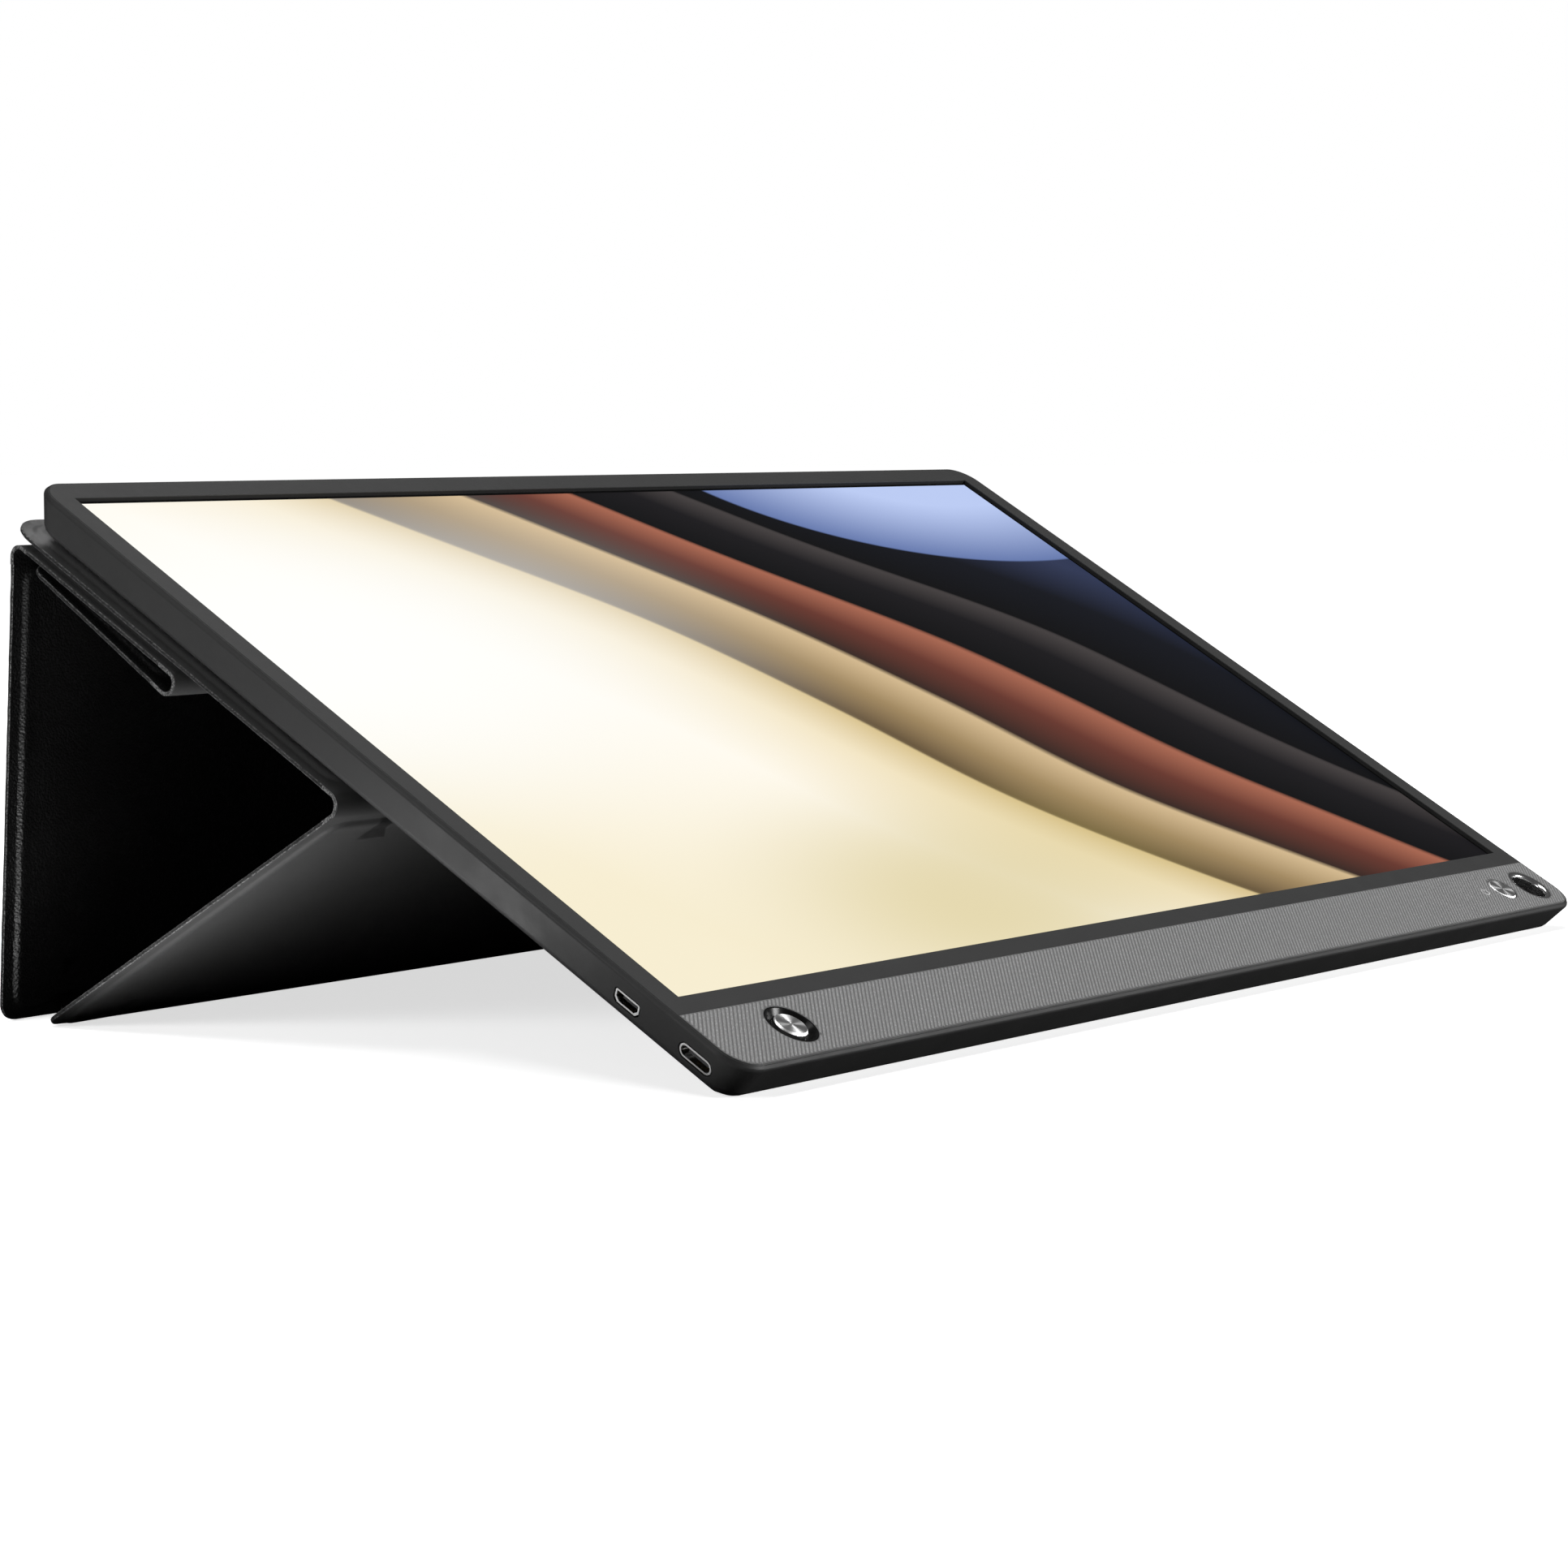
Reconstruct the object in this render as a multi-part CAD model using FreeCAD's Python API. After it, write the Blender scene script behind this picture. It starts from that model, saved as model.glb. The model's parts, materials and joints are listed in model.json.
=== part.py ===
import FreeCAD, Part
import math
import os
from FreeCAD import Vector

# Portable monitor standing in its folding case. Millimetres and degrees.
# The monitor is drawn lying in its own frame: u to the right, v up the screen, w out of the screen,
# with the middle of the lit screen on the glass face as zero. It is then tilted about X and set on the floor.
# The case is a chain of flat panels joined by round folds, drawn as a profile in the Y and Z plane.

# Lit screen and the bands of the bezel round it
active_width = 344.16
active_height = 193.59
dark_border = 0.85
side_band = 7.02
top_band = 7.25
chin_band = 24.85
corner_radius = 7.5
corner_tightening = 0.8
least_corner = 0.4
opening_draft = 0.25

# Depths of the monitor
body_depth = 12.1
screen_recess = 1.0
seam_depth = 1.3
seam_gap = 0.08
front_chamfer = 0.15
rim_width = 0.6
rim_edge = 0.12
rim_drop = 0.15
shoulder_depth = 1.0
shoulder_fillet = 0.8
knee_depth = 9.0
side_taper = 2.65
back_bevel = 5.6
knee_fillet = 3.0
back_fillet = 1.2
wall = 1.4
back_wall = 1.2
tongue_depth = 1.7
tongue_wall = 0.8
fit_gap = 0.1

# Stand pose
tilt = 30.4

# Chin trim
trim_thickness = 0.6
trim_height = 18.1
trim_border = 0.3

# Layers of the screen
glass_margin = 2.4
glass_thickness = 0.9
sheets_thickness = 0.3
guide_thickness = 0.8
reflector_thickness = 0.15
tray_thickness = 0.4
tray_gap = 0.25
strip_height = 0.8
strip_gap = 0.1

# Ports in the left wall, measured from the lower edge of the monitor
power_port_from_bottom = 11.9
power_port_width = 8.94
power_port_height = 3.26
video_port_from_bottom = 31.7
video_port_width = 6.9
video_port_height = 3.0
video_port_chamfer = 0.9
video_port_fillet = 0.5
port_length = 8.1
port_wall = 0.4
port_recess = 0.12
port_clearance = 0.3
port_headroom = 0.35
tongue_thickness = 0.7
tongue_reach = 6.4

# Boards
board_thickness = 1.0
board_edge_gap = 0.8
main_board_width = 112.0
main_board_height = 47.0
power_board_width = 32.0
power_board_height = 17.0
chip_height = 1.2
scaler_chip_size = 22.0
memory_chip_length = 12.0
memory_chip_width = 9.0
chip_spacing = 8.0
driver_board_width = 220.0
driver_board_height = 10.0
driver_board_thickness = 0.6
cable_thickness = 0.25
display_cable_width = 24.0
link_cable_width = 6.0
cable_overlap = 6.0
cable_straight = 1.0

# Battery
cell_count = 3
cell_width = 88.0
cell_height = 70.0
cell_thickness = 4.5
cell_gap = 4.0

# Screws
screw_radius = 1.0
screw_head_radius = 1.9
screw_head_height = 0.9
boss_radius = 2.4
board_screw_inset = 4.0
thread_gap = 0.05
cover_screw_count = 4
cover_screw_pitch = 46.0
cover_screw_from_bottom = 12.7

# Buttons and pen hole: distance in from the nearer side and up from the lower edge
menu_from_side = 28.05
menu_from_bottom = 10.7
menu_cap_radius = 3.8
well_mouth_radius = 5.6
well_ring = 0.45
well_floor_radius = 4.3
well_depth = 1.5
well_floor_thickness = 0.9
well_flange = 0.9
well_flange_thickness = 0.8
power_from_side = 25.65
power_from_bottom = 10.4
power_cap_radius = 4.0
cap_gap = 0.2
cap_rise = 0.05
cap_chamfer = 0.35
cap_flange = 0.9
cap_flange_thickness = 0.7
cap_stem_radius = 1.5
button_travel = 0.5
switch_size = 4.6
switch_height = 2.2
plunger_radius = 1.2
plunger_rise = 0.9
plunger_hidden = 0.7
plunger_gap = 0.1
light_from_power = 9.6
light_pipe_radius = 1.2
light_pipe_gap = 0.5
pen_from_side = 11.45
pen_from_bottom = 9.8
pen_bore_radius = 4.75
pen_sleeve_wall = 1.25
pen_mouth_fillet = 1.0
pen_ledge = 3.0
pen_relief = 0.6

# Magnets that hold the case
magnet_count = 4
magnet_pitch = 84.0
magnet_length = 24.0
magnet_width = 8.0
dock_magnet_thickness = 1.6
magnet_from_top = 29.9
pocket_gap = 0.1

# Case sheet: two skins bonded at the hem, with a stiff board between them inside the hem
skin_thickness = 0.45
board_core = 1.1
hem_width = 4.0
hem_corner = 4.0
core_corner = 2.0
core_gap = 0.05
ridge_slope = 1.3
ridge_shoulder = 0.4
case_side_inset = 2.35

# Case panels and folds
back_panel_length = 107.3
back_panel_rise = 5.0
back_panel_corner = 8.0
apex_fold_radius = 2.8
leg_slope = 29.6
base_fold_radius = 2.0
spine_length = 11.3
spine_inset = 18.0
notch_gap = 0.3
floor_gap = 0.2
flap_gap = 0.8
flap_from_top = 1.9
top_fold_radius = 2.0
flap_length = 52.75
tuck_fold_radius = 2.45
tuck_length = 48.5
tuck_lean = 3.0

# Worked out from the sizes above: the monitor's outline
half_width = active_width / 2 + dark_border + side_band
top_edge = active_height / 2 + dark_border + top_band
bottom_edge = -(active_height / 2 + dark_border + chin_band)
front_face = screen_recess
back_face = front_face - body_depth
seam_plane = front_face - seam_depth
shoulder_plane = front_face - shoulder_depth
rim_top = front_face - rim_drop
bezel_seat = rim_width + rim_edge
bezel_inset = bezel_seat + seam_gap
knee_plane = front_face - knee_depth
floor_plane = back_face + back_wall
side_slope = side_taper / (knee_depth - shoulder_depth)
bevel_slope = back_bevel / (knee_plane - back_face)

# Worked out: the layers behind the glass, from the front
glass_half_width = active_width / 2 + glass_margin
glass_half_height = active_height / 2 + glass_margin
glass_back = -glass_thickness
sheets_back = glass_back - sheets_thickness
guide_back = sheets_back - guide_thickness
reflector_back = guide_back - reflector_thickness
tray_back = reflector_back - tray_thickness
tray_half_width = glass_half_width + tray_gap + tray_thickness
tray_half_height = glass_half_height + tray_gap + tray_thickness

# Worked out: the boards stand under the taller port
board_top = tray_back - port_headroom - max(power_port_height, video_port_height)
board_back = board_top - board_thickness

# Worked out: centres of what is set into the chin and the left wall
menu_centre = Vector(-half_width + menu_from_side, bottom_edge + menu_from_bottom, 0)
power_centre = Vector(half_width - power_from_side, bottom_edge + power_from_bottom, 0)
pen_centre = Vector(half_width - pen_from_side, bottom_edge + pen_from_bottom, 0)
light_centre = power_centre - Vector(light_from_power, 0, 0)
power_port_v = bottom_edge + power_port_from_bottom
video_port_v = bottom_edge + video_port_from_bottom
power_port_w = board_top + power_port_height / 2
video_port_w = board_top + video_port_height / 2
port_mouth = -half_width + side_slope * (shoulder_plane - power_port_w) + port_recess
port_end = port_mouth + port_length
pen_sleeve_radius = pen_bore_radius + pen_sleeve_wall
pen_seat = back_face + pen_ledge

# How far a cut runs past the outside
outside_reach = 2.0


def rounded_wire(x0, x1, y0, y1, radii, z):
    """Closed rectangle at height z, with radii for the corners x0y0, x1y0, x1y1 and x0y1; 0 is sharp."""
    corners = [(x0, y0, 1, 1), (x1, y0, -1, 1), (x1, y1, -1, -1), (x0, y1, 1, -1)]
    bow = 1 - math.sqrt(0.5)
    stations = []
    for number, ((x, y, sx, sy), r) in enumerate(zip(corners, radii)):
        along_x = Vector(x + sx * r, y, z)
        along_y = Vector(x, y + sy * r, z)
        middle = Vector(x + sx * r * bow, y + sy * r * bow, z)
        ends = (along_y, along_x) if number % 2 == 0 else (along_x, along_y)
        stations.append((ends[0], middle, ends[1], r))
    edges = []
    for number, (first, middle, last, r) in enumerate(stations):
        if r > 0:
            edges.append(Part.Arc(first, middle, last).toShape())
        following = stations[(number + 1) % 4][0]
        if last.distanceToPoint(following) > 1e-6:
            edges.append(Part.LineSegment(last, following).toShape())
    return Part.Wire(edges)


def plate(x0, x1, y0, y1, radii, z0, z1):
    face = Part.Face(rounded_wire(x0, x1, y0, y1, radii, z0))
    return face.extrude(Vector(0, 0, z1 - z0))


def block(x0, x1, y0, y1, z0, z1):
    return Part.makeBox(x1 - x0, y1 - y0, z1 - z0, Vector(x0, y0, z0))


def rod(centre, radius, z0, z1):
    return Part.makeCylinder(radius, z1 - z0, Vector(centre.x, centre.y, z0))


def cone(centre, radius0, radius1, z0, z1):
    return Part.makeCone(radius0, radius1, z1 - z0, Vector(centre.x, centre.y, z0))


def body_wire(inset, z):
    """The monitor's outline, moved in by inset. The corners lose most of that inset from their radius."""
    radius = max(corner_radius - corner_tightening * inset, least_corner)
    return rounded_wire(-half_width + inset, half_width - inset, bottom_edge + inset, top_edge - inset,
                        [radius] * 4, z)


def body_slab(inset, z0, z1):
    return Part.Face(body_wire(inset, z0)).extrude(Vector(0, 0, z1 - z0))


def edges_at(shape, z):
    return [e for e in shape.Edges if abs(e.BoundBox.ZMin - z) < 1e-4 and abs(e.BoundBox.ZMax - z) < 1e-4]


def join(shapes):
    first = shapes[0]
    return first.fuse(shapes[1:]).removeSplitter() if len(shapes) > 1 else first


# Rear cover: tapered shell with a thin rim round the bezel, bosses, port cut-outs and the pen hole's seat
def wall_inset(z):
    """How far the inside of the rear wall stands in from the outline at height z."""
    return wall + side_slope * (shoulder_plane - z)


def rear_outside():
    sections = [body_wire(side_taper + back_bevel, back_face), body_wire(side_taper, knee_plane),
                body_wire(0, shoulder_plane), body_wire(rim_width, rim_top)]
    outside = Part.makeLoft(sections, True, True)
    for z, radius in ((knee_plane, knee_fillet), (back_face, back_fillet), (shoulder_plane, shoulder_fillet)):
        outside = outside.makeFillet(radius, edges_at(outside, z))
    return outside


def rear_cavity():
    floor_inset = side_taper + wall + (knee_plane - floor_plane) * bevel_slope
    hollow = Part.makeLoft([body_wire(floor_inset, floor_plane), body_wire(side_taper + wall, knee_plane),
                            body_wire(wall_inset(seam_plane), seam_plane)], True, True)
    return hollow.fuse(body_slab(bezel_seat, seam_plane, front_face))


main_board_left = -half_width + wall_inset(board_back) + board_edge_gap
main_board_bottom = bottom_edge + wall_inset(board_back) + board_edge_gap
main_board_right = main_board_left + main_board_width
main_board_top = main_board_bottom + main_board_height
power_board_right = pen_centre.x - pen_sleeve_radius - wall - board_edge_gap
power_board_left = power_board_right - power_board_width
power_board_top = main_board_bottom + power_board_height


def board_screw_points():
    """Four screws in the main board, clear of the ports, and two in the power board, clear of its switch."""
    low = main_board_bottom + board_screw_inset
    main_left = port_end + board_screw_inset
    main_right = main_board_right - board_screw_inset
    main_high = main_board_top - board_screw_inset
    points = [Vector(u, v, 0) for u in (main_left, main_right) for v in (low, main_high)]
    points.append(Vector(power_board_left + board_screw_inset, low, 0))
    points.append(Vector(power_board_right - board_screw_inset, power_board_top - board_screw_inset, 0))
    return points


def cover_screw_points():
    middle = (main_board_right + power_board_left) / 2
    first = middle - cover_screw_pitch * (cover_screw_count - 1) / 2
    return [Vector(first + n * cover_screw_pitch, bottom_edge + cover_screw_from_bottom, 0)
            for n in range(cover_screw_count)]


def pill_along_u(width, height, v, w, u0, u1):
    """Prism along u with round ends, width along v and height along w."""
    shape = plate(-width / 2, width / 2, -height / 2, height / 2, [height / 2] * 4, u0, u1)
    shape.rotate(Vector(0, 0, 0), Vector(1, 1, 1), 120)
    shape.translate(Vector(0, v, w))
    return shape


def video_prism(grow, v, w, u0, u1):
    """Prism along u with the video port's outline: its two lower corners are cut, and all are rounded."""
    a = video_port_width / 2 + grow
    b = video_port_height / 2 + grow
    c = video_port_chamfer
    outline = [(-a, b), (a, b), (a, -b + c), (a - c, -b), (-a + c, -b), (-a, -b + c)]
    points = [Vector(u0, v + y, w + z) for y, z in outline]
    face = Part.Face(Part.makePolygon(points + points[:1]))
    prism = face.extrude(Vector(u1 - u0, 0, 0))
    corners = [e for e in prism.Edges if e.BoundBox.XLength > (u1 - u0) / 2]
    return prism.makeFillet(video_port_fillet + grow, corners)


def make_rear_cover():
    outside = rear_outside()
    shell = outside.cut(rear_cavity())
    bosses = [rod(p, boss_radius, floor_plane, board_back) for p in board_screw_points()]
    pen_boss = rod(pen_centre, pen_sleeve_radius + wall, back_face - outside_reach, pen_seat + wall)
    bosses.append(pen_boss.common(outside))
    cover = join([shell] + bosses)
    cuts = [rod(p, screw_radius + thread_gap, floor_plane, board_back) for p in board_screw_points()]
    for p in cover_screw_points():
        cuts.append(rod(p, screw_radius + fit_gap, back_face, floor_plane))
        cuts.append(cone(p, screw_head_radius + fit_gap, screw_radius + fit_gap, back_face,
                         back_face + screw_head_height))
    cuts.append(rod(pen_centre, pen_sleeve_radius + fit_gap, pen_seat, front_face))
    cuts.append(rod(pen_centre, pen_bore_radius + pen_relief, back_face, pen_seat))
    mouth = -half_width - outside_reach
    cuts.append(pill_along_u(power_port_width + 2 * port_clearance, power_port_height + 2 * port_clearance,
                             power_port_v, power_port_w, mouth, port_end))
    cuts.append(video_prism(port_clearance, video_port_v, video_port_w, mouth, port_end))
    return cover.cut(cuts)


# Front bezel: skin with the screen opening, set inside the rear cover's rim, with a tongue and screw posts
def trim_wire_limits(grow):
    left = -half_width + bezel_inset + trim_border - grow
    low = bottom_edge + bezel_inset + trim_border - grow
    lower_radius = corner_radius - corner_tightening * bezel_inset - trim_border
    return left, -left, low, low + trim_height + 2 * grow, [lower_radius, lower_radius, 0, 0]


def chin_holes(z0, z1, gap):
    """Holes for the button well, the power button and the pen sleeve."""
    return [rod(menu_centre, well_mouth_radius + well_ring + gap, z0, z1),
            rod(power_centre, power_cap_radius + cap_gap, z0, z1),
            rod(pen_centre, pen_sleeve_radius + gap, z0, z1)]


opening_half_width = active_width / 2 + dark_border
opening_half_height = active_height / 2 + dark_border


def make_front_bezel():
    slab = body_slab(bezel_inset, seam_plane, front_face - front_chamfer)
    front = Part.makeLoft([body_wire(bezel_inset, front_face - front_chamfer),
                           body_wire(bezel_inset + front_chamfer, front_face)], True, True)
    solid = join([slab, front]).cut(body_slab(wall_inset(seam_plane), seam_plane, 0))
    tongue_inset = wall_inset(seam_plane - tongue_depth) + fit_gap
    tongue = body_slab(tongue_inset, seam_plane - tongue_depth, 0)
    tongue = tongue.cut(body_slab(tongue_inset + tongue_wall, seam_plane - tongue_depth, 0))
    posts = [rod(p, boss_radius, floor_plane, 0) for p in cover_screw_points()]
    solid = join([solid, tongue] + posts)
    hole_w, hole_h = opening_half_width, opening_half_height
    opening = Part.makeLoft([
        rounded_wire(-hole_w, hole_w, -hole_h, hole_h, [0] * 4, 0),
        rounded_wire(-hole_w - opening_draft, hole_w + opening_draft, -hole_h - opening_draft,
                     hole_h + opening_draft, [0] * 4, front_face)], True, True)
    cuts = [opening, plate(*trim_wire_limits(fit_gap), front_face - trim_thickness, front_face)]
    cuts += chin_holes(0, front_face, fit_gap)
    cuts += [rod(p, screw_radius + thread_gap, floor_plane, -trim_thickness) for p in cover_screw_points()]
    cuts.append(rod(pen_centre, pen_sleeve_radius + fit_gap, seam_plane - tongue_depth, 0))
    return solid.cut(cuts)


def make_chin_trim():
    trim = plate(*trim_wire_limits(0), front_face - trim_thickness, front_face)
    return trim.cut(chin_holes(front_face - trim_thickness, front_face, fit_gap))


# Screen layers
def screen_layer(z_front, z_back, low=-glass_half_height):
    return block(-glass_half_width, glass_half_width, low, glass_half_height, z_back, z_front)


def make_panel_tray():
    tray = block(-tray_half_width, tray_half_width, -tray_half_height, tray_half_height, tray_back, 0)
    inner_w = glass_half_width + tray_gap
    inner_h = glass_half_height + tray_gap
    return tray.cut(block(-inner_w, inner_w, -inner_h, inner_h, reflector_back, 0))


def screen_nodes():
    strip_top = -glass_half_height + strip_height
    return {
        "lcd_glass": screen_layer(0, glass_back),
        "optical_sheets": screen_layer(glass_back, sheets_back),
        "light_guide": screen_layer(sheets_back, guide_back, strip_top + strip_gap),
        "led_strip": block(-glass_half_width, glass_half_width, -glass_half_height, strip_top,
                           guide_back, sheets_back),
        "reflector_sheet": screen_layer(guide_back, reflector_back),
        "panel_tray": make_panel_tray(),
    }


# Boards, cables and battery
def bent_sheet(points, thickness, x0, x1):
    """Flat cable of even thickness along a bent line of (v, w) points, from x0 to x1."""
    def side(sign):
        out = []
        for number, (y, z) in enumerate(points):
            before = points[max(number - 1, 0)]
            after = points[min(number + 1, len(points) - 1)]
            first = math.atan2(z - before[1], y - before[0]) if number > 0 else None
            second = math.atan2(after[1] - z, after[0] - y) if number < len(points) - 1 else first
            first = second if first is None else first
            middle = (first + second) / 2
            reach = sign * thickness / 2 / math.cos((second - first) / 2)
            out.append(Vector(x0, y - math.sin(middle) * reach, z + math.cos(middle) * reach))
        return out
    outline = side(1) + side(-1)[::-1]
    return Part.Face(Part.makePolygon(outline + outline[:1])).extrude(Vector(x1 - x0, 0, 0))


def make_boards():
    main = plate(main_board_left, main_board_right, main_board_bottom, main_board_top,
                 [corner_radius, 0, 0, 0], board_back, board_top)
    power = block(power_board_left, power_board_right, main_board_bottom, power_board_top,
                  board_back, board_top)
    holes = [rod(p, screw_radius + fit_gap, board_back, board_top) for p in board_screw_points()]
    return main.cut(holes), power.cut(holes)


def make_board_chips():
    """Scaler and two memory chips in a row beside the menu switch."""
    chip_sizes = [(scaler_chip_size, scaler_chip_size), (memory_chip_length, memory_chip_width),
                  (memory_chip_width, memory_chip_length)]
    left = menu_centre.x + switch_size / 2 + chip_spacing
    low = main_board_bottom + board_screw_inset + boss_radius + chip_spacing
    chips = []
    for width, height in chip_sizes:
        chips.append(block(left, left + width, low, low + height, board_top, board_top + chip_height))
        left += width + chip_spacing
    return Part.makeCompound(chips)


def make_display_cable(driver_low):
    """Ribbon from the back of the driver board down to the main board."""
    upper = tray_back - driver_board_thickness - cable_thickness / 2
    lower = board_top + cable_thickness / 2
    start = driver_low + driver_board_height
    end = main_board_top - board_screw_inset
    points = [(start - cable_overlap, upper), (start + cable_straight, upper), (end - cable_overlap, lower),
              (end, lower)]
    right = main_board_right - board_screw_inset - 2 * boss_radius
    return bent_sheet(points, cable_thickness, right - display_cable_width, right)


def make_battery_cells():
    total = cell_count * cell_width + (cell_count - 1) * cell_gap
    low = main_board_top + 2 * board_edge_gap
    cells = []
    for number in range(cell_count):
        left = -total / 2 + number * (cell_width + cell_gap)
        cells.append(plate(left, left + cell_width, low, low + cell_height, [core_corner] * 4,
                           floor_plane, floor_plane + cell_thickness))
    return Part.makeCompound(cells)


def board_nodes():
    main, power = make_boards()
    driver_low = -glass_half_height
    driver = block(-driver_board_width / 2, driver_board_width / 2, driver_low,
                   driver_low + driver_board_height, tray_back - driver_board_thickness, tray_back)
    link_low = power_board_top - link_cable_width
    link = block(main_board_right - cable_overlap, power_board_left + cable_overlap, link_low,
                 power_board_top, board_top, board_top + cable_thickness)
    return {"main_board": main, "power_board": power, "board_chips": make_board_chips(),
            "panel_driver_board": driver, "display_cable": make_display_cable(driver_low),
            "board_link_cable": link, "battery_cells": make_battery_cells()}


def port_nodes():
    """Both shells, their mouths level with the sloping wall, and the tongues inside them."""
    back = port_end
    inner_end = back - port_wall
    tongue_end = inner_end - tongue_reach
    mouth = -half_width - outside_reach
    within = Part.makeLoft([body_wire(side_taper + port_recess, knee_plane),
                            body_wire(port_recess, shoulder_plane)], True, True)
    power = pill_along_u(power_port_width, power_port_height, power_port_v, power_port_w, mouth, back)
    power = power.cut(pill_along_u(power_port_width - 2 * port_wall, power_port_height - 2 * port_wall,
                                   power_port_v, power_port_w, mouth, inner_end))
    power = power.common(within).Solids[0]
    video = video_prism(0, video_port_v, video_port_w, mouth, back)
    video = video.cut(video_prism(-port_wall, video_port_v, video_port_w, mouth, inner_end))
    video = video.common(within).Solids[0]
    half = tongue_thickness / 2
    power_half = power_port_width / 2 - power_port_height / 2
    video_half = video_port_width / 2 - video_port_chamfer - port_wall
    return {
        "power_port": power,
        "power_port_tongue": block(tongue_end, inner_end, power_port_v - power_half,
                                   power_port_v + power_half, power_port_w - half, power_port_w + half),
        "video_port": video,
        "video_port_tongue": block(tongue_end, inner_end, video_port_v - video_half,
                                   video_port_v + video_half, video_port_w - half, video_port_w + half),
    }


# Screws
def make_board_screws():
    screws = []
    for p in board_screw_points():
        shank = rod(p, screw_radius, floor_plane + thread_gap, board_top)
        head = rod(p, screw_head_radius, board_top, board_top + screw_head_height)
        screws.append(join([shank, head]))
    return Part.makeCompound(screws)


def make_cover_screws():
    screws = []
    for p in cover_screw_points():
        head = cone(p, screw_head_radius, screw_radius, back_face, back_face + screw_head_height)
        shank = rod(p, screw_radius, back_face + screw_head_height, board_top)
        screws.append(join([head, shank]))
    return Part.makeCompound(screws)


# Buttons, switches, light and pen sleeve
well_floor = front_face - well_depth
well_back = well_floor - well_floor_thickness
switch_top = board_top + switch_height
plunger_top = switch_top + plunger_rise


def make_button_well():
    outer = well_mouth_radius + well_ring
    body = rod(menu_centre, outer, well_back, front_face)
    flange = rod(menu_centre, outer + well_flange, -well_flange_thickness, 0)
    hole = rod(menu_centre, menu_cap_radius + cap_gap, well_back, well_floor)
    bowl = cone(menu_centre, well_floor_radius, well_mouth_radius, well_floor, front_face)
    return join([body, flange]).cut([hole, bowl])


def make_cap(centre, radius, flange_top):
    """Button cap with a chamfered face, a flange that keeps it in, and a stem on the switch plunger."""
    face = front_face + cap_rise
    drum = rod(centre, radius, flange_top, face - cap_chamfer)
    lip = cone(centre, radius, radius - cap_chamfer, face - cap_chamfer, face)
    flange = rod(centre, radius + cap_flange, flange_top - cap_flange_thickness, flange_top)
    stem = rod(centre, cap_stem_radius, plunger_top, flange_top - cap_flange_thickness)
    return join([drum, lip, flange, stem])


def make_switch(centre):
    half = switch_size / 2
    housing = block(centre.x - half, centre.x + half, centre.y - half, centre.y + half, board_top, switch_top)
    depth = plunger_hidden + button_travel + plunger_gap
    return housing.cut(rod(centre, plunger_radius + plunger_gap, switch_top - depth, switch_top))


def make_plunger(centre):
    return rod(centre, plunger_radius, switch_top - plunger_hidden, plunger_top)


def make_pen_sleeve():
    sleeve = rod(pen_centre, pen_sleeve_radius, pen_seat, front_face)
    sleeve = sleeve.cut(rod(pen_centre, pen_bore_radius, pen_seat, front_face))
    mouth = [e for e in edges_at(sleeve, front_face) if abs(e.Curve.Radius - pen_bore_radius) < 1e-4]
    return sleeve.makeFillet(pen_mouth_fillet, mouth)


def chin_nodes():
    light_top = front_face - trim_thickness - light_pipe_gap
    return {
        "menu_button_well": make_button_well(),
        "menu_button_cap": make_cap(menu_centre, menu_cap_radius, well_back - fit_gap),
        "menu_switch": make_switch(menu_centre),
        "menu_switch_plunger": make_plunger(menu_centre),
        "power_button_cap": make_cap(power_centre, power_cap_radius, -fit_gap),
        "power_switch": make_switch(power_centre),
        "power_switch_plunger": make_plunger(power_centre),
        "power_light_pipe": rod(light_centre, light_pipe_radius, board_top, light_top),
        "pen_hole_sleeve": make_pen_sleeve(),
    }


def magnet_places():
    first = -magnet_pitch * (magnet_count - 1) / 2
    return [first + n * magnet_pitch for n in range(magnet_count)]


def make_dock_magnets():
    v = top_edge - magnet_from_top
    blocks = [block(x - magnet_length / 2, x + magnet_length / 2, v - magnet_width / 2, v + magnet_width / 2,
                    floor_plane, floor_plane + dock_magnet_thickness) for x in magnet_places()]
    return Part.makeCompound(blocks)


def monitor_nodes():
    nodes = {"front_bezel": make_front_bezel(), "rear_cover": make_rear_cover(),
             "chin_trim": make_chin_trim(), "board_screws": make_board_screws(),
             "cover_screws": make_cover_screws(), "dock_magnets": make_dock_magnets()}
    nodes.update(screen_nodes())
    nodes.update(board_nodes())
    nodes.update(port_nodes())
    nodes.update(chin_nodes())
    return nodes


# Case profile: directions are angles in the Y and Z plane, and every fold turns to the left
def direction(angle):
    return Vector(0, math.cos(math.radians(angle)), math.sin(math.radians(angle)))


def left_of(angle):
    return direction(angle + 90)


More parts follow.
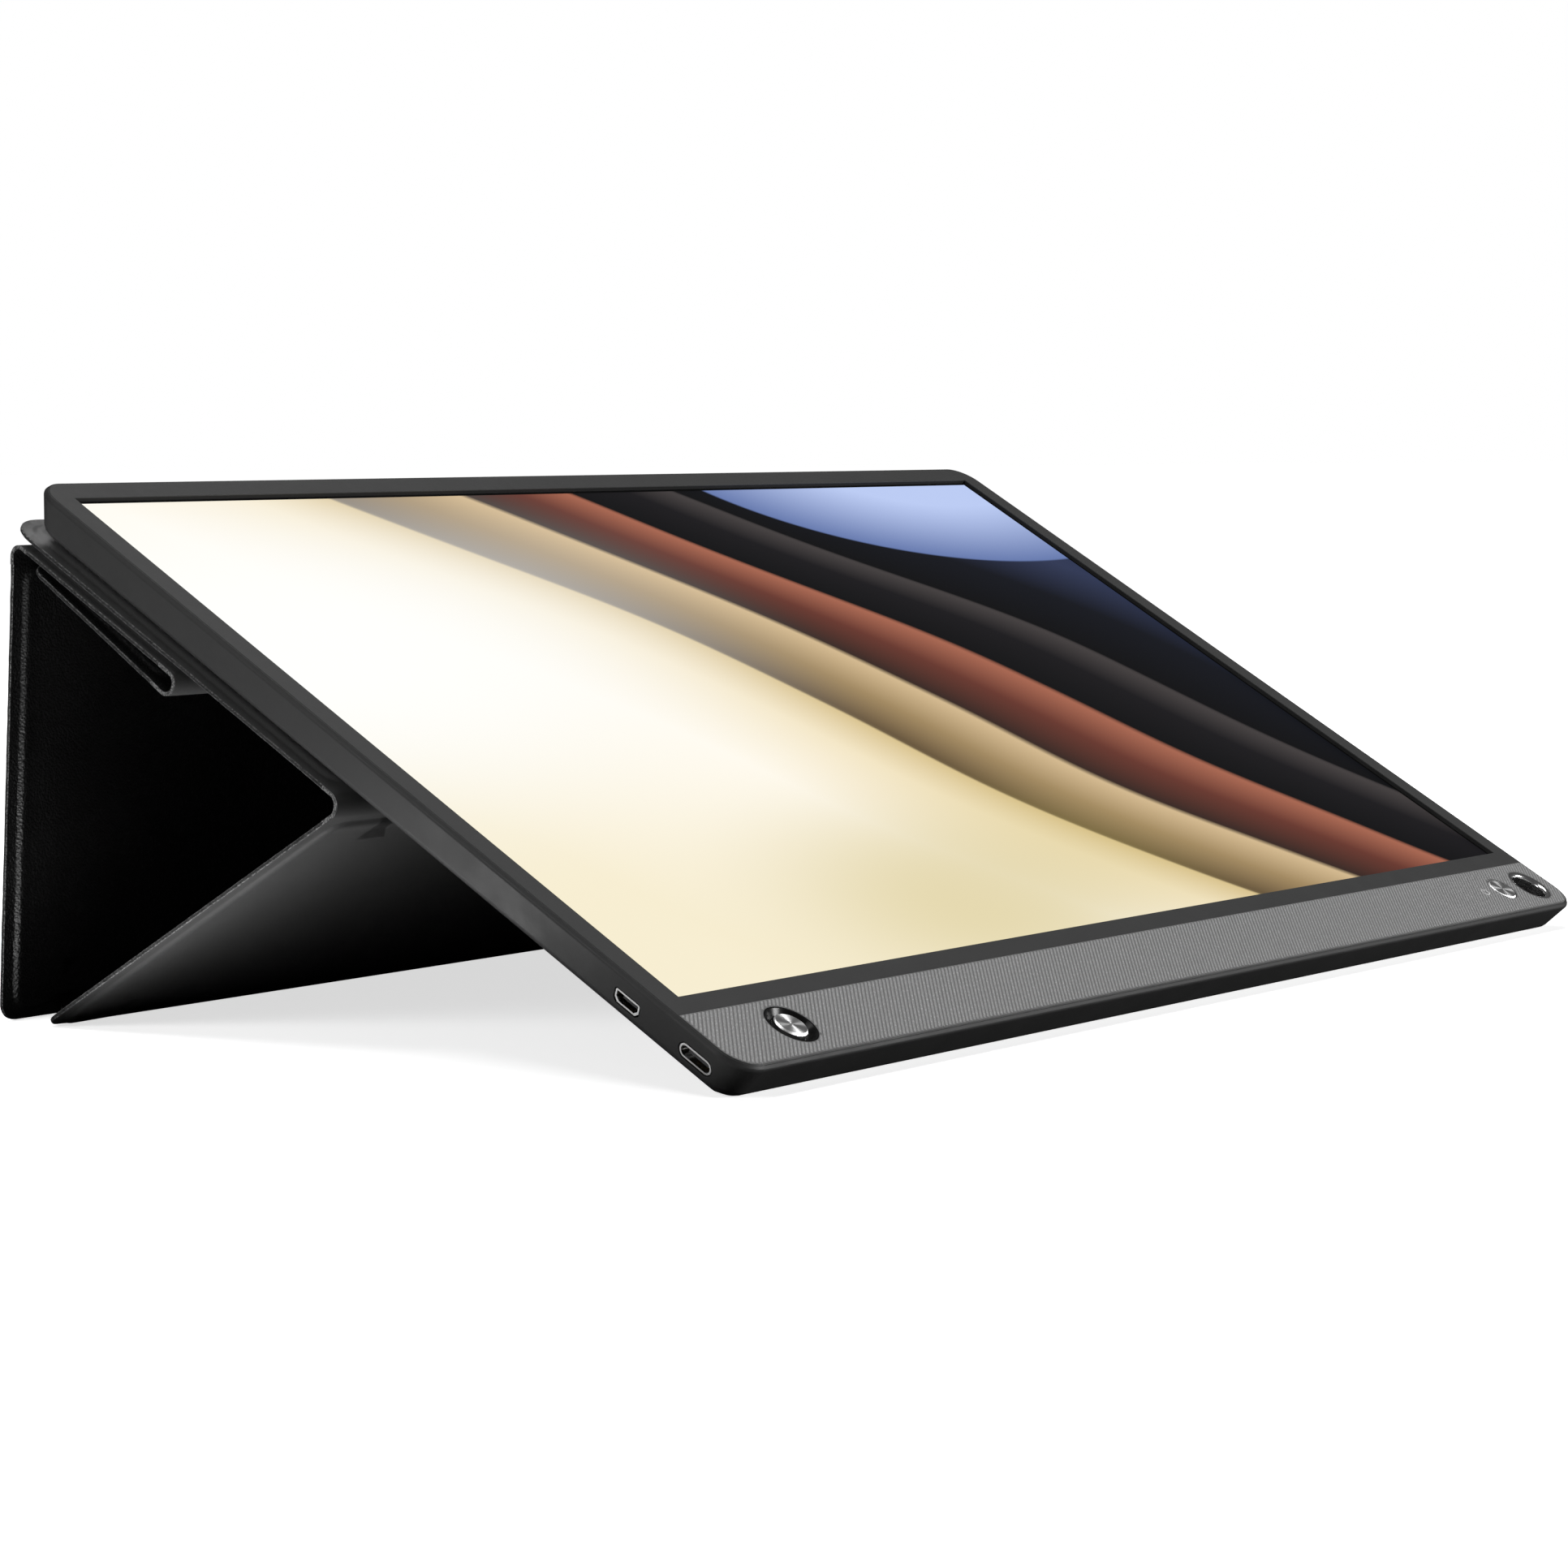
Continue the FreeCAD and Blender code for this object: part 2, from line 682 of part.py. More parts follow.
class Fold:
    """Round fold about an axis along X: mid-line radius, heading before it and heading after it."""

    def __init__(self, name, centre, radius, before, after, half_width):
        self.name = name
        self.centre = centre
        self.radius = radius
        self.before = before
        self.after = after
        self.half_width = half_width
        self.turn = after - before
        self.allowance = radius * math.radians(self.turn) / 2

    def start(self):
        return self.centre - left_of(self.before) * self.radius

    def end(self):
        return self.centre - left_of(self.after) * self.radius

    def point(self, angle, offset):
        """Point at that heading, offset to the left of the mid-line."""
        return self.centre - left_of(angle) * (self.radius - offset)

    def solid(self):
        """Both skins bonded together, round the fold and straight for the allowance at each end."""
        lead_in = direction(self.before) * -self.allowance
        lead_out = direction(self.after) * self.allowance
        middle = (self.before + self.after) / 2
        edges = []
        rims = []
        for offset in (skin_thickness, -skin_thickness):
            a = self.point(self.before, offset)
            b = self.point(self.after, offset)
            edges.append(Part.LineSegment(a + lead_in, a).toShape())
            edges.append(Part.Arc(a, self.point(middle, offset), b).toShape())
            edges.append(Part.LineSegment(b, b + lead_out).toShape())
            rims.append((a + lead_in, b + lead_out))
        edges.append(Part.LineSegment(rims[0][0], rims[1][0]).toShape())
        edges.append(Part.LineSegment(rims[0][1], rims[1][1]).toShape())
        face = Part.Face(Part.Wire(Part.__sortEdges__(edges)))
        face.translate(Vector(-self.half_width, 0, 0))
        return face.extrude(Vector(2 * self.half_width, 0, 0))


class Panel:
    """Flat stiff panel: drawn along s from zero, leather to the left, then turned and moved to its place."""

    def __init__(self, name, origin, heading, low, high, half_width, radii, notch_low=None, notch_high=None):
        self.name = name
        self.origin = origin
        self.heading = heading
        self.low = low
        self.high = high
        self.half_width = half_width
        self.radii = radii
        self.notch_low = notch_low
        self.notch_high = notch_high
        self.magnets_at = None

    def core_limits(self, grow):
        first = self.low if self.notch_low is None else self.notch_low
        last = self.high if self.notch_high is None else self.notch_high
        side = self.half_width - hem_width + grow
        return -side, side, first + hem_width - grow, last - hem_width + grow, [core_corner + grow] * 4

    def skin(self):
        sheet = plate(-self.half_width, self.half_width, self.low, self.high, self.radii, 0, skin_thickness)
        if self.notch_high is not None:
            sheet = sheet.cut(self.notch(self.notch_high, self.high + notch_gap))
        if self.notch_low is not None:
            sheet = sheet.cut(self.notch(self.low - notch_gap, self.notch_low))
        rise = board_core / 2
        base = rounded_wire(*self.core_limits(ridge_slope), skin_thickness)
        top = rounded_wire(*self.core_limits(ridge_shoulder), skin_thickness + rise)
        ridge = Part.makeLoft([base, top], True, True)
        pocket = plate(*self.core_limits(0), 0, rise)
        return join([sheet, ridge]).cut(pocket)

    def notch(self, first, last):
        side = spine_half_width + notch_gap
        return block(-side, side, first, last, -skin_thickness, 2 * skin_thickness)

    def core(self):
        core = plate(*self.core_limits(-core_gap), -board_core / 2, board_core / 2)
        if self.magnets_at is not None:
            core = core.cut(self.magnets(pocket_gap).Solids)
        return core

    def magnets(self, grow=0.0):
        s = self.magnets_at
        half_length = magnet_length / 2 + grow
        half_width = magnet_width / 2 + grow
        blocks = [block(x - half_length, x + half_length, s - half_width, s + half_width,
                        -board_core / 2, board_core / 2) for x in magnet_places()]
        return Part.makeCompound(blocks)

    def placed(self, shape):
        shape.rotate(Vector(0, 0, 0), Vector(1, 0, 0), self.heading)
        shape.translate(self.origin)
        return shape

    def nodes(self):
        leather = self.skin()
        lining = self.skin().mirror(Vector(0, 0, 0), Vector(0, 0, 1))
        made = {self.name + "_leather": self.placed(leather), self.name + "_lining": self.placed(lining),
                self.name + "_board": self.placed(self.core())}
        if self.magnets_at is not None:
            made[self.name + "_magnets"] = self.placed(self.magnets())
        return made


# The monitor is tilted, then lifted so that its lowest edge stands on the floor
def tilted(shape):
    shape.rotate(Vector(0, 0, 0), Vector(1, 0, 0), tilt)
    return shape


monitor = {name: tilted(shape) for name, shape in monitor_nodes().items()}
floor_lift = -monitor["rear_cover"].optimalBoundingBox(False, False).ZMin
up_screen = direction(tilt)
out_of_screen = left_of(tilt)


def on_monitor(v, w):
    return up_screen * v + out_of_screen * w + Vector(0, 0, floor_lift)


# Folds and panels of the case, from the free end on the monitor's back to the tucked end
case_half_width = half_width - case_side_inset
spine_half_width = case_half_width - spine_inset
panel_half = skin_thickness + board_core / 2
back_mid = back_face - panel_half
heading_back = 180 + tilt
heading_leg = 360 - leg_slope
heading_spine = 360
heading_flap = 540 + tilt
heading_tuck = heading_flap + 180 + tuck_lean

apex = Fold("apex_fold", on_monitor(top_edge - back_panel_length, back_mid - apex_fold_radius),
            apex_fold_radius, heading_back, heading_leg, case_half_width)
spine_mid = skin_thickness
leg_end_height = spine_mid + base_fold_radius * (1 - math.cos(math.radians(leg_slope)))
leg_length = (apex.end().z - leg_end_height) / math.sin(math.radians(leg_slope))
leg_end = apex.end() + direction(heading_leg) * leg_length
spine_front = Fold("spine_front_fold", leg_end + left_of(heading_leg) * base_fold_radius, base_fold_radius,
                   heading_leg, heading_spine, spine_half_width)
spine_end = spine_front.end() + direction(heading_spine) * spine_length
spine_rear_centre = spine_end + left_of(heading_spine) * base_fold_radius
flap_mid = back_mid - panel_half - flap_gap - panel_half
top_centre = on_monitor(top_edge - flap_from_top, flap_mid - top_fold_radius)
prop_line = top_centre - spine_rear_centre
sideways = base_fold_radius - top_fold_radius
prop_angle = math.atan2(prop_line.z, prop_line.y) - math.asin(sideways / prop_line.Length)
heading_prop = 360 + math.degrees(prop_angle)
prop_length = math.sqrt(prop_line.Length ** 2 - sideways ** 2)
spine_rear = Fold("spine_rear_fold", spine_rear_centre, base_fold_radius, heading_spine, heading_prop,
                  spine_half_width)
top_fold = Fold("top_fold", top_centre, top_fold_radius, heading_prop, heading_flap, case_half_width)
flap_end = top_fold.end() + direction(heading_flap) * flap_length
tuck = Fold("tuck_fold", flap_end + left_of(heading_flap) * tuck_fold_radius, tuck_fold_radius,
            heading_flap, heading_tuck, case_half_width)
folds = [apex, spine_front, spine_rear, top_fold, tuck]

leg_ear = (leg_end.z - skin_thickness * math.cos(math.radians(leg_slope)) - floor_gap) / math.sin(
    math.radians(leg_slope))
prop_ear = spine_rear.end().z - skin_thickness * abs(math.cos(math.radians(heading_prop))) - floor_gap
free_end = [hem_corner, hem_corner, 0, 0]
far_end = [0, 0, hem_corner, hem_corner]
square = [0, 0, 0, 0]

back_end = [back_panel_corner, back_panel_corner, 0, 0]
back_panel = Panel("back_panel", on_monitor(top_edge, back_mid), heading_back, -back_panel_rise,
                   back_panel_length - apex.allowance, case_half_width, back_end)
back_panel.magnets_at = magnet_from_top
leg_panel = Panel("leg_panel", apex.end(), heading_leg, apex.allowance, leg_length + leg_ear, case_half_width,
                  far_end, notch_high=leg_length - spine_front.allowance)
prop_panel = Panel("prop_panel", spine_rear.end(), heading_prop, -prop_ear, prop_length - top_fold.allowance,
                   case_half_width, free_end, notch_low=spine_rear.allowance)
flap_panel = Panel("flap_panel", top_fold.end(), heading_flap, top_fold.allowance,
                   flap_length - tuck.allowance, case_half_width, square)
flap_panel.magnets_at = magnet_from_top - flap_from_top
tuck_panel = Panel("tuck_panel", tuck.end(), heading_tuck, tuck.allowance, tuck_length, case_half_width,
                   far_end)


def spine_skin(z0, z1):
    sheet = block(-spine_half_width, spine_half_width, spine_front.allowance,
                  spine_length - spine_rear.allowance, z0, z1)
    sheet.translate(spine_front.end())
    return sheet


def case_nodes():
    nodes = {"spine_leather": spine_skin(0, skin_thickness), "spine_lining": spine_skin(-skin_thickness, 0)}
    for panel in (back_panel, leg_panel, prop_panel, flap_panel, tuck_panel):
        nodes.update(panel.nodes())
    for fold in folds:
        nodes[fold.name] = fold.solid()
    return nodes


case = case_nodes()
for shape in monitor.values():
    shape.translate(Vector(0, 0, floor_lift))
nodes = dict(monitor)
nodes.update(case)

# The origin goes to the middle of the footprint
boxes = [shape.optimalBoundingBox(False, False) for shape in nodes.values()]
middle_y = (min(b.YMin for b in boxes) + max(b.YMax for b in boxes)) / 2
to_origin = Vector(0, -middle_y, 0)

os.makedirs("parts", exist_ok=True)
for name, shape in nodes.items():
    shape.translate(to_origin)
    shape.exportStep(os.path.join("parts", name + ".step"))

print("nodes", len(nodes))
for fold in folds:
    place = fold.centre + to_origin
    print(fold.name, "axis at", round(place.y, 3), round(place.z, 3), "turn", round(fold.turn, 3))
pen_middle = on_monitor(pen_centre.y, (pen_seat + front_face - pen_mouth_fillet) / 2) + to_origin
print("pen bore", round(pen_centre.x, 3), round(pen_middle.y, 3), round(pen_middle.z, 3),
      "length", round(front_face - pen_mouth_fillet - pen_seat, 3))
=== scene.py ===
import json
import math

import bmesh
import bpy
from mathutils import Matrix, Vector, noise


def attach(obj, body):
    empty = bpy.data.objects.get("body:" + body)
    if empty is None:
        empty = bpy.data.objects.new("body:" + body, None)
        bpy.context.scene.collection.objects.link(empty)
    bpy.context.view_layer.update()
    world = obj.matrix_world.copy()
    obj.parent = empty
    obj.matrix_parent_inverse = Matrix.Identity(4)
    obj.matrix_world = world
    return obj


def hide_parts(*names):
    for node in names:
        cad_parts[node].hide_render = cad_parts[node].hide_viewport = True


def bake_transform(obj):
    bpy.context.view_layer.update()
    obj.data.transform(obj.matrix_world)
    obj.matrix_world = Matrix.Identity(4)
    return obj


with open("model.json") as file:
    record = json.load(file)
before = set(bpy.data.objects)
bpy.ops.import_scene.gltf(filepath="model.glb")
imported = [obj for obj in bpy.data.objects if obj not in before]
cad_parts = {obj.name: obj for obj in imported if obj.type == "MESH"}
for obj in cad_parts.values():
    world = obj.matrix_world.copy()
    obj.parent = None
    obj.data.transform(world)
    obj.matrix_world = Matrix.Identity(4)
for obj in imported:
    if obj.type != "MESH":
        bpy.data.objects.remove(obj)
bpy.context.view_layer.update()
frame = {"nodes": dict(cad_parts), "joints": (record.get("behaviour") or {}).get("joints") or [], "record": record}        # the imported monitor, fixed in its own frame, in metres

MM = 0.001

# The photograph's camera, in the frame's metres
PHOTO_WIDTH = 1932
FOCAL_PIXELS = 5130.4
SENSOR_WIDTH = 36.0
CAMERA_PLACE = Vector((-0.8140, -0.5973, 0.1258))
CAMERA_FORWARD = Vector((0.79491, 0.60157, -0.07891)).normalized()
CAMERA_ROLL = math.radians(0.60)
SIDE_SHIFT = 0.001
CLIP_NEAR = 0.01
CLIP_FAR = 100.0

# The lit part of the screen
LIT_WIDTH = 344.16 * MM
LIT_HEIGHT = 193.59 * MM
BLACK_BORDER = 0.85 * MM
BLACK_EDGE = 0.20 * MM

# The bands of the picture on the screen: where each colour stands across them, and the colour
PICTURE_BANDS = (
    (0.00, (0.93, 0.85, 0.64)),
    (0.30, (1.00, 0.95, 0.84)),
    (0.41, (0.90, 0.79, 0.56)),
    (0.465, (0.70, 0.55, 0.28)),
    (0.469, (0.12, 0.08, 0.04)),
    (0.52, (0.36, 0.25, 0.12)),
    (0.572, (0.66, 0.49, 0.28)),
    (0.576, (0.035, 0.020, 0.016)),
    (0.63, (0.14, 0.040, 0.028)),
    (0.682, (0.40, 0.14, 0.085)),
    (0.686, (0.004, 0.004, 0.005)),
    (0.75, (0.010, 0.009, 0.011)),
    (0.80, (0.060, 0.052, 0.052)),
    (0.804, (0.003, 0.003, 0.004)),
    (0.90, (0.006, 0.007, 0.012)),
    (1.00, (0.03, 0.04, 0.09)),
)

# The slanted ribs of the strip under the screen
RIB_PITCH = 0.90 * MM
RIB_WIDTH = 0.52 * MM
RIB_HEIGHT = 0.06 * MM
RIB_MARGIN = 0.30 * MM
RIB_LEAST = 0.60 * MM
RIB_TRACE = 0.10 * MM
RIB_SLANT = math.radians(45)
RIB_SIDES = 4
DASH_LENGTH = 0.9 * MM
DASH_WIDTH = 0.3 * MM
TRIM_CORNER = 6.6 * MM

# The power mark beside the power button
MARK_RADIUS = 1.25 * MM
MARK_LINE = 0.22 * MM
MARK_HEIGHT = 0.02 * MM
MARK_GAP = math.radians(40)
MARK_STEPS = 28
MARK_BAR_START = 0.2 * MARK_RADIUS

# The contacts inside the two sockets
CONTACT_WIDTH = 0.26 * MM
CONTACT_HEIGHT = 0.03 * MM
CONTACT_LENGTH = 3.2 * MM
CONTACT_SETBACK = 0.5 * MM
CONTACT_COUNT = {"power_port": 12, "video_port": 10}

# The skins of the folding case
SKIN = 0.45 * MM
BACK_CORNER = 8.0 * MM
HEM_CORNER = 4.0 * MM
FOLD_CORNER = 0.05 * MM
FOLD_REACH = 3.2 * MM        # how far a ridge runs past the board toward a fold
EAR_GAP = 0.15 * MM          # between an ear and the end of the narrower spine
EAR_BLEND = 8.0 * MM         # the width over which a ridge turns down into an ear
EAR_RIDGE = 0.5              # the share of an ear that the ridge takes
RIDGE_CORNER = 3.2 * MM
STATION_PITCH = 1.6 * MM
CORNER_STATIONS = 8
CUT_ROUNDING = 0.18 * MM
CUT_SHOULDER = 0.6 * SKIN
UNDER_INSET = 0.3 * MM
UNDER_REACH = 1.0 * MM
SLOW_WOBBLE = 0.20 * MM
SLOW_WAVES = 90
SLOW_OFFSET = 7
QUICK_WOBBLE = 0.10 * MM
QUICK_WAVES = 700
QUICK_OFFSET = 13
FOLD_STATION_PITCH = 3.0 * MM
FOLD_STEPS = 24
LEAD_STEPS = 3
SOLE_STEPS = 4
CREASE = 0.06 * MM
CREASE_WAVES = 55
SMOOTH_LIMIT = math.radians(38)

# Each step across the edge of a panel's board: how many millimetres outside the board it lies, and its
# share of the rise or, inside the board, of the swell above the rise
RIDGE_STEPS = (
    (1.7, 0.0),
    (1.4, 0.06),
    (1.0, 0.30),
    (0.6, 0.64),
    (0.2, 0.88),
    (-0.2, 0.98),
    (-0.6, 1.0),
    (-1.1, 0.92),
    (-1.7, 0.66),
    (-2.4, 0.32),
    (-3.2, 0.08),
    (-4.2, 0.0),
    (-8.0, 0.0),
)
RIDGE_SWELL = {"leather": 0.45, "lining": 0.36}
RIDGE_SPREAD = {"leather": 0.8, "lining": 0.9}

# The floor: how pale it looks, how brightly it glows for the camera (painted light over the part's cast
# shadow), how much light it throws back, and where it fades into the white backdrop
FLOOR_SIZE = 30.0
FLOOR_LEVEL = 0.86
FLOOR_VARIATION = 0.03
FLOOR_BLOTCH = 0.6
FLOOR_GLOW = 0.68
FLOOR_BOUNCE = 0.05
LEFT_BOUNCE = 0.85
FRONT_BOUNCE = 0.35
LEFT_EDGE = -0.178
FRONT_EDGE = -0.12
BOUNCE_BLUR = 0.008
FADE_START = 0.2
FADE_END = 1.3

# The room: its even light, its brightness in reflections, and the backdrop that the camera sees
ROOM_FILL = 0.03
ROOM_GLOSS = 0.10
BACKDROP = 1.0

# Each soft light: its name, place, aim, width, height and watts
LAMPS = (
    ("overhead_left", (-0.45, 0.15, 1.5), (-0.1, 0, 0.06), 0.5, 0.8, 9.0),
    ("overhead_right", (0.45, 0.15, 1.5), (0.1, 0, 0.06), 0.5, 0.8, 9.0),
    ("left_key", (-0.70, 0.12, 0.30), (-0.18, 0.05, 0.07), 0.25, 0.20, 1.5),
    ("floor_card", (-0.205, 0.035, 0.002), (-0.205, 0.035, 1.0), 0.04, 0.09, 0.06),
    ("front_fill", (0.8, -1.3, 0.25), (0.1, -0.1, 0.0), 0.6, 0.3, 26),
)

nodes = frame["nodes"]
joints = {joint["name"]: joint for joint in frame["joints"]}
mounts = {mount["name"]: mount for mount in frame["record"]["mounts"]}


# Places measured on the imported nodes

def points_of(node):
    return [vertex.co for vertex in nodes[node].data.vertices]


def reach(node, axis):
    """The lowest and highest place of a node along an axis."""
    values = [point.dot(axis) for point in points_of(node)]
    return min(values), max(values)


def middle(node, axis):
    return sum(reach(node, axis)) / 2


RIGHT = Vector((1, 0, 0))
OUT = Vector(mounts["pen_hole"]["axis"]).normalized()
UP = OUT.cross(RIGHT)
RIB_ALONG = RIGHT * math.cos(RIB_SLANT) + UP * math.sin(RIB_SLANT)
RIB_ACROSS = RIGHT * math.sin(RIB_SLANT) - UP * math.cos(RIB_SLANT)
SCREEN_UP = middle("lcd_glass", UP)
FRONT = reach("chin_trim", OUT)[1]


# Node trees

def material(name, **constants):
    made = bpy.data.materials.new(name)
    made.use_nodes = True
    shader = made.node_tree.nodes["Principled BSDF"]
    for socket, value in constants.items():
        shader.inputs[socket.replace("_", " ")].default_value = value
    return made, made.node_tree, shader


def add(tree, kind, inputs=None, **settings):
    node = tree.nodes.new(kind)
    for name, value in settings.items():
        setattr(node, name, value)
    for socket, value in (inputs or {}).items():
        if isinstance(value, bpy.types.NodeSocket):
            tree.links.new(value, node.inputs[socket])
        else:
            node.inputs[socket].default_value = value
    return node


def place_socket(tree):
    """Where a point lies on its own piece, in metres."""
    return add(tree, "ShaderNodeTexCoord").outputs["Object"]


def distance_along(tree, place, axis):
    """How far a place lies along an axis, in lengths of that axis where it isn't a unit one."""
    node = add(tree, "ShaderNodeVectorMath", {0: place, 1: axis}, operation="DOT_PRODUCT")
    return node.outputs["Value"]


def speckle(tree, place, grain, detail=2.0, roughness=0.5):
    """Noise whose blotches are about one grain wide."""
    texture = add(tree, "ShaderNodeTexNoise",
                  {"Vector": place, "Scale": 1 / grain, "Detail": detail, "Roughness": roughness})
    return texture.outputs["Fac"]


def arithmetic(tree, operation, first, second=0.0, clamp=False):
    node = add(tree, "ShaderNodeMath", {0: first, 1: second}, operation=operation, use_clamp=clamp)
    return node.outputs[0]


def remap(tree, value, from_low, from_high, to_low, to_high):
    node = add(tree, "ShaderNodeMapRange",
               {"Value": value, "From Min": from_low, "From Max": from_high,
                "To Min": to_low, "To Max": to_high})
    return node.outputs["Result"]


def mix(tree, factor, first, second):
    node = add(tree, "ShaderNodeMix", {"Factor": factor}, data_type="RGBA")
    for socket, value in (("A_Color", first), ("B_Color", second)):
        target = next(s for s in node.inputs if s.identifier == socket)
        if isinstance(value, bpy.types.NodeSocket):
            tree.links.new(value, target)
        else:
            target.default_value = (*value, 1)
    return next(s for s in node.outputs if s.identifier == "Result_Color")


def ramp(tree, value, stops):
    node = add(tree, "ShaderNodeValToRGB", {"Fac": value})
    elements = node.color_ramp.elements
    while len(elements) < len(stops):
        elements.new(0.5)
    for element, (position, colour) in zip(elements, stops):
        element.position = position
        element.color = (*colour, 1)
    return node.outputs["Color"]


def bump(tree, height, depth, strength=1.0):
    node = add(tree, "ShaderNodeBump", {"Height": height, "Distance": depth, "Strength": strength})
    return node.outputs["Normal"]


def grey(level):
    return (level, level, level)


# Finishes

def moulded(name, dark, light, roughness, grain, depth, **constants):
    """Moulded plastic with a fine spark finish and faint blotches."""
    made, tree, shader = material(name, **constants)
    place = place_socket(tree)
    fine = speckle(tree, place, grain)
    blotch = speckle(tree, place, 40 * grain, 4.0, 0.6)
    tree.links.new(mix(tree, blotch, dark, light), shader.inputs["Base Color"])
    rough = remap(tree, blotch, 0.3, 0.7, roughness - 0.05, roughness + 0.06)
    tree.links.new(rough, shader.inputs["Roughness"])
    tree.links.new(bump(tree, fine, depth), shader.inputs["Normal"])
    return made


def black_print_and_recess_shade(name, *look, **constants):
    """The bezel's plastic, near black round the screen: black print at its edge and painted shade on the
    walls of its recess.
    """
    made = moulded(name, *look, **constants)
    tree = made.node_tree
    shader = tree.nodes["Principled BSDF"]
    place = place_socket(tree)
    up = distance_along(tree, place, UP)
    up = arithmetic(tree, "ABSOLUTE", arithmetic(tree, "SUBTRACT", up, SCREEN_UP))
    across = arithmetic(tree, "ABSOLUTE", add(tree, "ShaderNodeSeparateXYZ", {0: place}).outputs["X"])
    lip = BLACK_BORDER + BLACK_EDGE
    inside = arithmetic(tree, "MULTIPLY", arithmetic(tree, "LESS_THAN", across, LIT_WIDTH / 2 + lip),
                        arithmetic(tree, "LESS_THAN", up, LIT_HEIGHT / 2 + lip))
    plain = shader.inputs["Base Color"].links[0].from_socket
    # Near black round the screen: black print at its edge and painted shade on the recess walls.
    tree.links.new(mix(tree, inside, plain, grey(0.003)), shader.inputs["Base Color"])
    return made


def plated(name, dark, light, roughness, grain, depth):
    """Plain metal or foil with faint handling marks."""
    return moulded(name, dark, light, roughness, grain, depth, Metallic=1.0)


def woven_trim(name, dark, light, bright_level):
    """The strip's printed weave: short bright dashes on grey, finer than the ribs."""
    made, tree, shader = material(name, Specular_IOR_Level=0.4)
    place = place_socket(tree)
    along = distance_along(tree, place, RIB_ALONG / DASH_LENGTH)
    across = distance_along(tree, place, RIB_ACROSS / DASH_WIDTH)
    stretched = add(tree, "ShaderNodeCombineXYZ", {"X": along, "Y": across})
    dashes = speckle(tree, stretched.outputs[0], 1.0, 3.0, 0.7)
    blotch = speckle(tree, place, 9 * MM, 3.0)
    base = mix(tree, blotch, grey(dark), grey(light))
    bright = remap(tree, dashes, 0.50, 0.72, 0.0, 1.0)
    tree.links.new(mix(tree, bright, base, grey(bright_level)), shader.inputs["Base Color"])
    tree.links.new(remap(tree, dashes, 0.3, 0.7, 0.42, 0.58), shader.inputs["Roughness"])
    tree.links.new(bump(tree, dashes, 0.03 * MM), shader.inputs["Normal"])
    return made


def spun_metal(name, *caps):
    """Turned metal: the grain runs in circles about the nearer of the caps."""
    made, tree, shader = material(name, Metallic=1.0, Anisotropic=0.85, Roughness=0.34)
    place = place_socket(tree)
    centres = [Vector((middle(cap, RIGHT), middle(cap, UP), 0)) for cap in caps]
    across = distance_along(tree, place, RIGHT)
    up = distance_along(tree, place, UP)
    halfway = (centres[0].x + centres[1].x) / 2
    side = arithmetic(tree, "GREATER_THAN", across, halfway)
    centre_across = remap(tree, side, 0, 1, centres[0].x, centres[1].x)
    centre_up = remap(tree, side, 0, 1, centres[0].y, centres[1].y)
    from_across = arithmetic(tree, "SUBTRACT", across, centre_across)
    from_up = arithmetic(tree, "SUBTRACT", up, centre_up)
    along_up = add(tree, "ShaderNodeVectorMath", {0: UP, "Scale": from_across}, operation="SCALE")
    along_right = add(tree, "ShaderNodeVectorMath", {0: -RIGHT, "Scale": from_up}, operation="SCALE")
    tangent = add(tree, "ShaderNodeVectorMath",
                  {0: along_up.outputs[0], 1: along_right.outputs[0]}, operation="ADD")
    unit = add(tree, "ShaderNodeVectorMath", {0: tangent.outputs[0]}, operation="NORMALIZE")
    tree.links.new(unit.outputs[0], shader.inputs["Tangent"])
    squares = arithmetic(tree, "ADD", arithmetic(tree, "MULTIPLY", from_across, from_across),
                         arithmetic(tree, "MULTIPLY", from_up, from_up))
    radius = arithmetic(tree, "SQRT", squares)
    rings = speckle(tree, add(tree, "ShaderNodeCombineXYZ", {"X": radius}).outputs[0], 0.12 * MM)
    tree.links.new(mix(tree, rings, grey(0.74), grey(0.84)), shader.inputs["Base Color"])
    return made


def grained_leather(name):
    """Black coated leather with a pebble grain."""
    made, tree, shader = material(name, Specular_IOR_Level=0.5)
    place = place_socket(tree)
    pebbles = add(tree, "ShaderNodeTexVoronoi", {"Vector": place, "Scale": 1 / (0.55 * MM)},
                  feature="SMOOTH_F1")
    pores = speckle(tree, place, 0.3 * MM)
    height = arithmetic(tree, "MULTIPLY_ADD", pores, -0.25)
    height = arithmetic(tree, "SUBTRACT", height, pebbles.outputs["Distance"])
    blotch = speckle(tree, place, 25 * MM, 4.0)
    tree.links.new(mix(tree, blotch, grey(0.003), grey(0.005)), shader.inputs["Base Color"])
    tree.links.new(remap(tree, blotch, 0.3, 0.7, 0.34, 0.44), shader.inputs["Roughness"])
    tree.links.new(bump(tree, height, 0.18 * MM, 1.0), shader.inputs["Normal"])
    return made


def soft_lining(name):
    """Dark microfibre with a fine nap."""
    made, tree, shader = material(name, Specular_IOR_Level=0.5, Sheen_Weight=0.04,
                                  Sheen_Roughness=0.45)
    place = place_socket(tree)
    nap = speckle(tree, place, 0.25 * MM, 3.0, 0.7)
    brushed = speckle(tree, place, 12 * MM, 4.0, 0.6)
    shade = arithmetic(tree, "ADD", arithmetic(tree, "MULTIPLY", nap, 0.4),
                       arithmetic(tree, "MULTIPLY", brushed, 0.6))
    tree.links.new(mix(tree, shade, grey(0.040), grey(0.066)), shader.inputs["Base Color"])
    tree.links.new(remap(tree, nap, 0.3, 0.7, 0.40, 0.54), shader.inputs["Roughness"])
    tree.links.new(bump(tree, nap, 0.08 * MM, 0.7), shader.inputs["Normal"])
    return made


